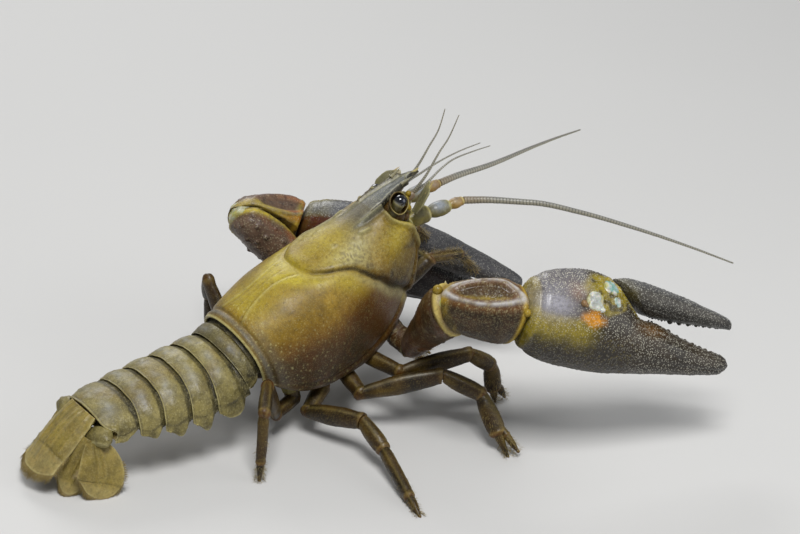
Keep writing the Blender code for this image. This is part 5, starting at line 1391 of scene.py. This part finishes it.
def make_arm(name, sign):
    arm = CLAW_ARMS[name]
    elbow, wrist = np.array(arm["elbow"]), np.array(arm["wrist"])
    _, along, _, face, _ = claw_frame(name)
    near = name == "right"
    root = body(CLAW_ROOT_X, sign * CLAW_ROOT_Y, LEG_ROOT_Z) - DORSAL * ROOT_DEPTH
    basis = body(CLAW_ROOT_X, sign * CLAW_BASIS[0], CLAW_BASIS[1])
    hip_x, hip_y, hip_z = CLAW_HIP[name]
    hip = body(hip_x, sign * hip_y, hip_z)
    piece = Piece(f"arm_root_{name}")
    fold = fold_plane(basis, hip, elbow)
    lengths = ((root, basis, ((0, 2.3, 2.3), (0.6, 2.5, 2.5), (1, 2.7, 2.8))),
               (basis, hip, ((0, 2.8, 2.9), (0.8, 2.7, 3.0), (1, 2.9, 3.2))))
    for start, end, rows in lengths:
        points, outward, share, _ = segment(start, end, FORWARD, rows, 56, 50, (0.8, 0.8))
        bumps = granules(points, 0.8, 51, 0.6, 0.38)
        points = points + outward * (0.1 * bumps)[..., None]
        if end is hip:
            points = hold_back(points, hip - fold * HALF_GAP, fold)
        piece.grid(points, closed=True, outward=outward, pale=0.4 * bell(share - 0.9, 0.1) + 0.2 * bumps,
                   warm=0.1, dark=0.5)
    piece.finish("arm", [f"cheliped_{name}_ischium"])

    bend = fold_plane(hip, elbow, wrist)
    length = np.linalg.norm(elbow - hip)
    grid = (156, 170) if near else (120, 126)
    points, outward, share, angle = segment(
        hip, elbow, FORWARD, MERUS_RINGS, *grid, (0.1 * length, 0.1 * length))
    bumps = granules(points, 0.8, 53, 0.7, 0.42)
    large = granules(points, 1.9, 54, 0.6, 0.4) * ease(0.1, 0.3, share)
    dorsal = np.sin(angle) * sign
    to_end = -(points - elbow) @ bend
    rim = bell(to_end - 1.3, 0.85)
    height = 0.09 * bumps + 0.45 * rim - 0.3 * bell(to_end - 3.2, 0.5) + 0.12 * waves(points, 5.0, 7)
    height = height + (0.32 * ease(0.2, 0.7, dorsal) if near else 0.5) * large * (1 - rim)
    points = points + outward * height[..., None]
    points = hold_back(hold_back(points, elbow - bend * HALF_GAP, bend), hip + fold * HALF_GAP, -fold)
    piece = Piece(f"arm_merus_{name}")
    piece.grid(
        points, closed=True, outward=outward,
        pale=(0.14 * bumps + 0.15 * large + 0.35 * rim if near else 0.4 + 0.2 * large),
        # Darker over most of its length and most on its downward faces: painted shade.
        dark=0.35 * large * (not near)
            + 0.6 * ease(0.1, 0.5, share) * (1 - rim) * (0.4 + 0.6 * ease(-0.2, -0.8, outward[..., 2])),
        warm=(
            0.3 if near else 0.6 * ease(0.0, 0.7, outward @ FORWARD) * ease(0.4, -0.2, outward @ LEFT)
        ) * (1 - rim) * ease(-0.3, 0.5, waves(points, 4.0, 13)),
        gold=0.95 * rim)
    arm_spines(piece, hip, elbow, FORWARD, MERUS_SPINES, sign, pale=0.5, gold=0.3)
    knob = (elbow - bend * 1.2
            + unit(np.cross(bend, FORWARD)) * (4.6 if near else -4.6) * (1 if sign < 0 else -1))
    balls(piece, [knob], [1.25], gold=0.65, dark=0.3)
    piece.finish("arm" if near else "brightened far arm", [f"cheliped_{name}_merus"])

    wide = np.cross(unit(wrist - elbow), np.array(arm["across"]))
    length = np.linalg.norm(wrist - elbow)
    grid = (196, 180) if near else (140, 130)
    points, outward, share, angle = segment(
        elbow, wrist, wide, CARPUS_RINGS, *grid, (0.26 * length, 0.3 * length))
    bumps = granules(points, 0.6, 57, 0.85, 0.32)
    large = granules(points, 1.8, 58, 0.5, 0.4)
    middle, span = CARPUS_GROOVE[name]
    off = (np.degrees(angle) - middle + 180) % 360 - 180
    inside = np.sqrt((off / span) ** 2 + ((share - 0.48) / 0.5) ** 2)
    trough = 1 - ease(0.6, 0.95, inside)
    rims = bell(inside - 1.11, 0.13)
    broken = ease(-0.55, 0.15, waves(points, 1.3, 59))
    wrist_rim = bell(-(points - wrist) @ along - 1.0, 0.7)
    height = -1.0 * trough + 0.4 * rims + 0.3 * wrist_rim + 0.08 * bumps * (1 - rims)
    height = (height + 0.12 * trough * bumps + 0.12 * waves(points, 5.0, 8)
            + 0.3 * large * (not near) * ease(0.2, 0.6, -off / 90))
    points = points + outward * height[..., None]
    points = hold_back(hold_back(points, wrist - along * HALF_GAP, along), elbow + bend * HALF_GAP, -bend)
    under = ease(1.4, 1.9, inside) * ease(0.0, 20.0, off)
    collar = ease(3.0, 1.4, (points - elbow) @ bend)
    piece = Piece(f"arm_carpus_{name}")
    face_on = ease(1.3, 1.8, inside) * (1 - under)
    piece.grid(
        points, closed=True, outward=outward,
        pale=0.15 * rims + (0.35 * bumps if near else 0.4) * (1 - 0.75 * under) * (1 - 0.6 * trough),
        # Painted shade: dark in the groove and over the underside beside it.
        dark=0.85 * under * (1 - wrist_rim) + 0.55 * trough + 0.6 * large * (not near)
            + 0.3 * face_on * (not near),
        # Painted highlight: silvery colour along the groove's rims, broken in places.
        spot=(0.9 if near else 0.35) * rims * (1 - 0.35 * bumps) * (0.35 + 0.65 * broken),
        warm=(0.15 if near else 0.8 * ease(0.2, 0.8, share) * ease(0.4, -0.2, outward @ LEFT)) * (1 - rims)
            * (1 - trough) * (1 - 0.7 * under),
        gold=0.8 * near * bell(off - span * 0.62, 6.0) * trough + 0.85 * wrist_rim + 0.7 * collar)
    arm_spines(
        piece, elbow, wrist, wide, CARPUS_SPINES, arm["face"], pale=0.3, dark=0.4 if not near else 0.0)
    balls(
        piece, [wrist - along * 0.6 + face * 4.6, wrist - along * 0.6 - face * 4.6], [0.95, 0.95],
        gold=0.75, dark=0.15)
    piece.finish("arm" if near else "brightened far arm", [f"cheliped_{name}_carpus"])
    skin = Piece(f"arm_skin_{name}")
    for place, line, radius in ((elbow, bend, 3.5 if near else 3.8), (wrist, along, 3.0)):
        points, outward, _, _ = segment(
            place - line * 1.5, place + line * 1.5, UP, ((0, radius, radius), (1, radius, radius)), 60, 40,
            (1.0, 1.0))
        points = points + outward * (0.2 * waves(points, 0.9, 3))[..., None]
        skin.grid(
            points, closed=True, outward=outward, gold=0.4 + 0.45 * ease(-0.2, 0.4, waves(points, 1.6, 5)))
    skin.finish("membrane", [])


# Walking legs

def leg_length(piece, start, end, side, rows, size, past, seed, limits=()):
    """One length of a leg: granular, darker above, orange and pale at its ends."""
    table = [(share, depth * size, width * size) for share, depth, width in rows]
    length = np.linalg.norm(np.subtract(end, start))
    points, outward, share, _ = segment(start, end, side, table, 40, int(min(64, 18 + 3.6 * length)), past)
    bumps = granules(points, 0.6, seed, 0.6, 0.4)
    rim = bell(share - 0.98, 0.03)
    height = 0.05 * bumps + 0.08 * rim - 0.06 * bell(share - 0.9, 0.02) + 0.08 * waves(points, 2.6, seed)
    points = points + outward * height[..., None]
    for place, normal in limits:
        points = hold_back(points, place, normal)
    points[..., 2] = np.maximum(points[..., 2], 0.0)
    above = np.clip(outward[..., 2], 0, 1)
    ends = ease(0.9, 1.02, share) + ease(0.08, -0.02, share)
    blotch = ease(-0.2, 0.6, waves(points, 3.4, seed + 40))
    piece.grid(
        points, closed=True, outward=outward, warm=0.4 * ends * (1 - 0.6 * above) + 0.1,
        dark=(0.25 + 0.35 * blotch) * (1 - 0.5 * ends) + 0.3 * blotch,
        # Painted highlight: a pale band where the surface faces mostly up.
        pale=0.2 * rim + 0.12 * bumps + 0.2 * bell(above - 0.75, 0.12),
        gold=0.45 * (1 - above) * (1 - blotch) * ease(0.7, 0.3, share))


def bristles_on(piece, start, end, radius, count, length, seed, low=0.05):
    """Bristles round a length of a leg, leaning towards its end."""
    rng = np.random.default_rng(seed)
    start, end = np.asarray(start, float), np.asarray(end, float)
    line = unit(end - start)
    first = unit(np.cross(line, UP + 0.02))
    second = np.cross(line, first)
    share = rng.uniform(low, 1.0, count)
    angle = rng.uniform(0, 2 * math.pi, count)
    out = first * np.cos(angle)[:, None] + second * np.sin(angle)[:, None]
    roots = start + (end - start) * share[:, None] + out * radius
    stray = rng.normal(0, 0.25, (count, 3))
    tips = roots + (out + line * 0.7 + stray) * length * rng.uniform(0.5, 1.1, (count, 1))
    tips[:, 2] = np.maximum(tips[:, 2], 0.1)
    roots[:, 2] = np.maximum(roots[:, 2], 0.15)
    hairs(piece, roots, tips, 0.045)


def make_leg(number, name, sign, bristle):
    hip, knee, wrist, foot = (np.array(j) for j in LEG_JOINTS[number, name])
    size = LEG_DEPTH[number]
    root = body(LEG_ROOT_X[number], sign * LEG_ROOT_Y, LEG_ROOT_Z) - DORSAL * ROOT_DEPTH
    basis_y, basis_z = LEG_BASIS[number]
    basis = body(LEG_ROOT_X[number] - 0.5, sign * basis_y, basis_z)
    side = unit(np.cross(knee - hip, UP))
    bend = fold_plane(hip, knee, wrist)
    seed = number * 7 + (3 if sign > 0 else 0)
    upper = Piece(f"leg_{number}_{name}_top")
    leg_length(
        upper, root, basis, side, ((0, 2.0, 2.0), (0.6, 2.1, 2.0), (1, 2.0, 1.9)), size, (0.6, 1.2), seed)
    leg_length(
        upper, basis, hip, side, ((0, 1.9, 1.9), (0.5, 1.95, 1.75), (0.85, 1.8, 1.6), (1, 1.9, 1.7)), size,
        (1.2, 1.2), seed)
    merus = ((0, 1.5, 1.4), (0.15, 1.9, 1.5), (0.5, 2.4, 1.7), (0.85, 2.1, 1.6), (1, 1.9, 1.55))
    leg_length(upper, hip, knee, side, merus, size, (1.2, 1.5), seed, [(knee - bend * 0.1, bend)])
    upper.finish("leg", [f"leg_{number}_{name}_upper"])
    line = unit(foot - wrist)
    spread = unit(np.cross(side, line))
    lower = Piece(f"leg_{number}_{name}_bottom")
    for place, way, radius in ((knee, bend, 1.15), (wrist, line, 1.0)):
        leg_length(
            lower, place - way * 0.6, place + way * 0.6, side, ((0, radius, radius), (1, radius, radius)),
            size, (0.5, 0.5), seed)
    carpus = ((0, 1.5, 1.3), (0.3, 1.9, 1.6), (0.8, 2.0, 1.7), (1, 1.8, 1.55))
    leg_length(lower, knee, wrist, side, carpus, size, (1.5, 1.3), seed + 1, [(knee + bend * 0.1, -bend)])
    if number in PINCERS:
        palm, toe = wrist + (foot - wrist) * 0.62, foot - UP * 0.1
        leg_length(
            lower, wrist, palm, side, ((0, 1.4, 1.3), (0.3, 2.0, 1.5), (0.8, 2.2, 1.5), (1, 1.9, 1.4)),
            size, (1.2, 1.0), seed + 2)
        leg_length(
            lower, palm, toe, side, ((0, 1.3, 1.2), (0.5, 0.85, 0.8), (1, 0.35, 0.35)), size, (1.2, 0.4),
            seed + 3)
        thumb = [
            palm - line * 1.6 + spread * 0.9, palm + line * 1.2 + spread * 1.7,
            foot + spread * 2.6 + UP * 0.3]
        leg_length(
            lower, thumb[0], thumb[1], side, ((0, 0.8, 0.8), (1, 0.95, 0.9)), size, (0.8, 0.6), seed + 4)
        leg_length(
            lower, thumb[1], thumb[2], side, ((0, 0.95, 0.9), (0.6, 0.65, 0.65), (1, 0.3, 0.3)), size,
            (0.6, 0.4), seed + 5)
        bristles_on(bristle, palm, toe, 0.8, 130, 1.1, seed)
        bristles_on(bristle, thumb[1], thumb[2], 0.75, 90, 1.0, seed + 9)
        bristles_on(bristle, wrist, palm, 1.75 * size, 120, 0.9, seed + 5, low=0.4)
    else:
        palm, toe = wrist + (foot - wrist) * 0.72, foot - UP * 0.05
        leg_length(
            lower, wrist, palm, side, ((0, 1.3, 1.2), (0.2, 1.65, 1.4), (0.8, 1.5, 1.3), (1, 1.35, 1.2)),
            size, (1.2, 0.8), seed + 2)
        leg_length(
            lower, palm, toe, side, ((0, 1.1, 1.0), (0.3, 1.05, 0.95), (1, 0.3, 0.3)), size, (0.9, 0.4),
            seed + 3)
        bristles_on(bristle, palm, toe, 0.9, 150, 0.8, seed)
        bristles_on(bristle, wrist, palm, 1.3 * size, 60, 0.7, seed + 4, low=0.5)
    lower.finish("leg", [f"leg_{number}_{name}_lower"])


# Head

def ringed(piece, route, thick, thin, step, around):
    """A feeler of many small rings, darker at every joint."""
    _, length = smooth_route(route, 4)
    count = int(length / step) * 6 + 1
    phase = np.linspace(0, int(length / step), count)
    swell = np.abs(np.sin(math.pi * phase)) ** 0.5

    def radius(share):
        return (thick + (thin - thick) * share ** 0.8) * (0.9 + 0.1 * swell)

    points, outward, share = tube_along(route, radius, around, count)
    points = np.concatenate(
        [
            points[:1].mean(axis=1, keepdims=True) + 0 * points[:1], points,
            points[-1:].mean(axis=1, keepdims=True) + 0 * points[-1:]])
    rings = np.concatenate([[0], (1 - swell) ** 2, [0]])[:, None]
    outward = np.concatenate([outward[:1], outward, outward[-1:]])
    above = np.clip(outward[..., 2], 0, 1)
    tip = np.concatenate([[0], share[:, 0], [1]])[:, None]
    piece.grid(
        points, closed=True, outward=outward, dark=0.8 * rings + 0.2 * tip,
        pale=0.35 * (1 - above) * (1 - rings), warm=0.4 * ease(0.12, 0.0, tip))


def make_eyes():
    for name, sign in SIDES:
        root = body(FACE_X, sign * 4.9, -2.1)
        eye = body(*EYE_CENTRE[name])
        line = unit(eye - root)
        stalk = Piece(f"stalk_{name}")
        points, outward, share, _ = segment(
            root - line * 0.2, eye - line * 0.5, LEFT, ((0, 1.2, 1.2), (0.6, 1.3, 1.3), (1, 1.5, 1.5)), 48,
            40, (0.3, 0.3))
        stalk.grid(points, closed=True, outward=outward, dark=0.7, pale=0.35 * ease(0.85, 1.0, share))
        stalk.finish("soft", [f"eyestalk_{name}"])
        globe = Piece(f"eyeball_{name}")
        turn = np.linspace(0.0, math.pi * 0.78, 60)
        centres = eye + line * (np.cos(turn) * EYE_RADIUS)[:, None]
        lines = np.broadcast_to(line, centres.shape)
        size = np.maximum(np.sin(turn), 0.003) * EYE_RADIUS
        points, _, _ = ring_grid(centres, lines, LEFT + UP * 0.01, size, size, 72)
        outward = (points - eye) / EYE_RADIUS
        globe.grid(points, closed=True, outward=outward, pale=0.85 * bell(turn[:, None] - 1.95, 0.28))
        globe.finish("eye", [f"eye_{name}"])


def make_feelers(bristle):
    for name, sign in SIDES:
        piece = Piece(f"small_feelers_{name}")
        joints = [
            body(FACE_X, sign * 2.0, -4.6), body(50.6, sign * 2.2, -3.9), body(53.4, sign * 2.3, -3.1),
            body(55.6, sign * 2.4, -2.5)]
        for (start, end), radius in zip(zip(joints, joints[1:]), (1.4, 1.2, 1.0)):
            points, outward, share, _ = segment(
                start, end, LEFT,
                ((0, radius * 0.9, radius * 0.9), (0.8, radius, radius), (1, radius, radius)), 40, 40,
                (0.3, 0.3))
            piece.grid(points, closed=True, outward=outward, warm=0.85, spot=0.2 * ease(0.2, 0.8, share),
                       pale=0.5 * bell(share - 0.95, 0.05))
        for tips, base in ANTENNULE_TIPS[name]:
            ringed(piece, [joints[-1] - FORWARD * 0.5, *tips], base, 0.12, 0.55, 14)
        piece.finish("feeler", [f"antennule_{name}"])

        stem = Piece(f"feeler_stem_{name}")
        base = [body(FACE_X, sign * 3.7, -8.0), body(51.6, sign * 3.9, -7.0)]
        first = np.array(ANTENNA_ROUTE[name][0])
        line = unit(first - base[1])
        whole = first - base[1]
        lengths = (
            (base[0], base[1], ((0, 1.9, 1.7), (0.55, 2.2, 1.8), (1, 2.2, 2.0)), 0.0),
            (
                base[1] - line * 0.8, base[1] + whole * 0.36,
                ((0, 1.5, 1.6), (0.4, 2.15, 2.2), (0.8, 2.2, 2.2), (1, 1.6, 1.7)), 0.15),
            (
                base[1] + whole * 0.36, base[1] + whole * 0.74,
                ((0, 1.2, 1.3), (0.35, 1.85, 1.85), (0.8, 1.75, 1.75), (1, 1.15, 1.2)), 0.7),
            (
                base[1] + whole * 0.74, first - line * 0.3,
                ((0, 1.0, 1.05), (0.45, 1.35, 1.4), (1, 0.95, 0.95)), 0.3))
        for start, end, rows, blue in lengths:
            points, outward, share, _ = segment(start, end, LEFT, rows, 60, 50, (0.5, 0.4))
            bumps = granules(points, 0.7, 14, 0.5, 0.36)
            points = points + outward * (0.08 * bumps + 0.12 * bell(share - 0.93, 0.06))[..., None]
            stem.grid(
                points, closed=True, outward=outward, pale=0.7 * bell(share - 0.96, 0.06) + 0.3 * bumps,
                # Blue-grey on the stem's segments, most on the third, strongest on their upward faces: their
                # own colour with a painted sheen.
                spot=blue * bell(share - 0.5, 0.4) * np.clip(outward[..., 2] + 0.3, 0, 1),
                dark=0.3 * bell(share - 0.84, 0.04),
                gold=0.8 * (1 - blue) * ease(-0.3, 0.5, waves(points, 2.0, 15)), warm=0.5 * (blue == 0.3))
        start, end = (body(*p) for p in ANTENNA_SCALE[name])
        blade = Piece(f"feeler_scale_{name}")
        route = [start, start + (end - start) * 0.3, start + (end - start) * 0.7, end]
        turned = np.array(SCALE_ACROSS) * (-sign, 1.0, -sign)
        points = vane(
            blade, route, turned, ((0, 1.4), (0.3, 2.6), (0.7, 2.3), (1.0, 0.9)), 0.5, 70, 61, 0.3, None, 1,
            12)
        outer = unit(turned) * sign * 1.3
        blade.finish("blade", [f"antenna_scale_{name}"], thick=0.4)
        thorn(
            stem, start + (end - start) * 0.6 + outer, end + outer * 0.7 + (end - start) * 0.08, 0.4,
            pale=0.4, warm=0.4)
        stem.finish("soft", [f"antenna_base_{name}"])
        fringe_side(bristle, points, sign)

        whip = Piece(f"feeler_{name}")
        ringed(whip, ANTENNA_ROUTE[name], 0.95, 0.2, 0.8, 20)
        whip.finish("feeler", [f"antenna_flagellum_{name}"])


def fringe_side(bristle, points, sign):
    """Bristles along the inner edge of a feeler scale."""
    rows, columns = points.shape[:2]
    rng = np.random.default_rng(17)
    column = 0 if np.dot(points[rows // 2, 0] - points[rows // 2, -1], LEFT) * sign < 0 else columns - 1
    inner = 6 if column == 0 else columns - 7
    roots, tips = [], []
    for row in range(int(rows * 0.35), rows, 1):
        for _ in range(3):
            root = (points[row, column]
                    + rng.uniform(-0.5, 0.5) * (points[row, column] - points[row - 1, column]))
            out = (unit(points[row, column] - points[row, inner])
                    + 0.5 * unit(points[row, column] - points[row - 4, column]))
            roots.append(root)
            tips.append(root + unit(out + rng.normal(0, 0.08, 3)) * rng.uniform(1.0, 1.7))
    hairs(bristle, roots, tips, 0.04)


def make_mouth(bristle):
    shapes = (
        ((0, 1.5, 1.6), (0.5, 1.9, 2.0), (1, 1.7, 1.8)), ((0, 1.3, 1.3), (0.5, 1.5, 1.5), (1, 1.25, 1.25)),
        ((0, 1.1, 1.1), (0.6, 0.85, 0.85), (1, 0.35, 0.35)))
    for name, _ in SIDES:
        joints = [body(*place) for place in MAXILLIPED[name]]
        piece = Piece(f"mouth_leg_{name}")
        for (start, end), rows in zip(zip(joints, joints[1:]), shapes):
            leg_length(piece, start, end, LEFT, rows, 1.0, (0.7, 0.7), 44)
        piece.finish("leg", [f"maxilliped_{name}"])
        bristles_on(bristle, joints[1], joints[2], 1.35, 130, 1.2, 45)
        bristles_on(bristle, joints[2], joints[3], 0.8, 160, 1.1, 46)


def make_face(bristle):
    """The front of the head: the plate between the feelers, the jaws and the inner mouth legs."""
    piece = Piece("face")
    turn = np.linspace(0, 2 * math.pi, 121)[None, :]
    reach = np.linspace(0, 1, 60)[:, None]
    u = np.sign(np.cos(turn)) * np.abs(np.cos(turn)) ** 0.8 * reach
    v = np.sign(np.sin(turn)) * np.abs(np.sin(turn)) ** 0.8 * reach
    y, z = 7.9 * u, -11.5 + 12.0 * v
    x = 45.6 + 2.4 * v + 1.6 * (1 - reach ** 2)
    plate = ease(4.2, 3.2, np.abs(y) + 0.25 * (z + 4.0)) * ease(-12.5, -11.5, z)
    keel = bell(y, 0.35) * plate
    hollow = bell(np.hypot((np.abs(y) - 4.6) / 1.6, (z + 13.0) / 4.0), 0.7)
    spots = np.stack([x, y, z], axis=-1)
    x = x + 0.6 * plate + 0.35 * keel - 0.7 * hollow + 0.2 * waves(spots, 1.6, 81)
    # Dark in the hollows beside the jaws: painted shade.
    piece.grid(
        body(x, y, z), outward=FORWARD + 0 * spots, dark=0.5 + 0.45 * hollow - 0.3 * plate,
        warm=0.35 - 0.2 * plate,
        pale=0.3 * bell(plate - 0.5, 0.3) + 0.3 * keel + 0.15 * granules(spots, 0.7, 82), gold=0.6 * plate)
    for _, sign in SIDES:
        jaw = ((0, 1.3, 1.7), (0.3, 1.8, 2.3), (0.8, 1.5, 1.9), (1, 0.9, 1.3))
        points, outward, share, _ = segment(
            body(47.7, sign * 0.3, -15.6), body(47.2, sign * 4.4, -17.6), DORSAL, jaw, 50, 50, (0.2, 0.8))
        points = points + outward * (0.1 * granules(points, 0.8, 83, 0.7))[..., None]
        piece.grid(points, closed=True, outward=outward, pale=0.55 * ease(0.35, 0.0, share),
                   gold=0.5 * ease(0.1, 0.6, share), dark=0.35 * bell(share - 0.4, 0.08))
        joints = [
            body(46.0, sign * 2.5, -21.4), body(51.6, sign * 2.1, -18.6), body(53.9, sign * 1.7, -21.4)]
        shapes = (((0, 1.0, 1.1), (0.6, 1.2, 1.3), (1, 0.9, 1.0)),
                  ((0, 0.8, 0.9), (0.5, 0.7, 0.8), (1, 0.3, 0.3)))
        for (start, end), rows in zip(zip(joints, joints[1:]), shapes):
            leg_length(piece, start, end, LEFT, rows, 1.0, (0.5, 0.4), 84)
        bristles_on(bristle, joints[1], joints[2], 0.7, 90, 1.0, 85)
    piece.finish("soft", [])


def make_light_and_floor():
    floor = bpy.data.meshes.new("floor")
    corners = [(FLOOR_REACH * x, FLOOR_REACH * y, 0) for x, y in ((-1, -1), (1, -1), (1, 1), (-1, 1))]
    floor.from_pydata(corners, [], [(0, 1, 2, 3)])
    ground = bpy.data.objects.new("floor", floor)
    bpy.context.scene.collection.objects.link(ground)
    g = Graph("pale floor")
    g.link(g.mix(g.noise(3.0), srgb(196, 195, 193), srgb(202, 201, 199)), g.shader.inputs["Base Color"])
    g.set(Roughness=0.8)
    floor.materials.append(g.material)
    world = bpy.data.worlds.new("studio")
    world.use_nodes = True
    background = world.node_tree.nodes["Background"]
    background.inputs["Color"].default_value = (0.82, 0.86, 0.9, 1.0)
    background.inputs["Strength"].default_value = WORLD_STRENGTH
    bpy.context.scene.world = world
    for name, place, size, power in LAMPS:
        light = bpy.data.lights.new(name, "AREA")
        light.size = size
        light.energy = power
        lamp = bpy.data.objects.new(name, light)
        lamp.location = place
        aim = np.array((0.0, 0.0, 0.02)) - np.array(place)
        lamp.matrix_world = looking(place, unit(aim))
        bpy.context.scene.collection.objects.link(lamp)


def looking(place, line, roll=0.0):
    """A camera's or light's matrix that looks along a line."""
    right = unit(np.cross(line, UP))
    above = np.cross(right, line)
    c, s = math.cos(roll), math.sin(roll)
    across, upward = right * c - above * s, above * c + right * s
    columns = np.array((across, upward, -np.asarray(line))).T
    matrix = np.eye(4)
    matrix[:3, :3] = columns
    matrix[:3, 3] = place
    return Matrix(matrix.tolist())


def make_camera():
    turn, tilt, roll = (math.radians(v) for v in (CAMERA_TURN, CAMERA_TILT, CAMERA_ROLL))
    line = np.array((-math.sin(turn) * math.cos(tilt), math.cos(turn) * math.cos(tilt), -math.sin(tilt)))
    lens = bpy.data.cameras.new("photograph")
    lens.sensor_width = SENSOR_MM
    lens.lens = FOCAL_PIXELS * SENSOR_MM / PHOTO_WIDTH
    camera = bpy.data.objects.new("photograph", lens)
    bpy.context.scene.collection.objects.link(camera)
    camera.matrix_world = looking((CAMERA_PLACE + PLACE) * MM, line, roll)
    bpy.context.scene.camera = camera


bpy.context.scene.view_settings.view_transform = "Standard"
make_camera()
make_light_and_floor()
LOOKS = make_looks()
make_carapace()
make_rostrum()
make_abdomen()
make_tail_fan()
leg_bristles = Piece("leg_bristles")
head_bristles = Piece("head_bristles")
for side_name, side_sign in SIDES:
    make_socket(side_name, side_sign)
    make_hand(side_name)
    make_arm(side_name, side_sign)
    for leg_number in LEG_ROOT_X:
        make_leg(leg_number, side_name, side_sign, leg_bristles)
make_eyes()
make_feelers(head_bristles)
make_mouth(head_bristles)
make_face(head_bristles)
for node_name, node_look in (("underside", "soft"), ("mouthparts", "leg")):
    kept = frame["nodes"][node_name].data.materials
    kept.clear()
    kept.append(LOOKS[node_look])
leg_bristles.finish("hair", [])
head_bristles.finish("hair", [])
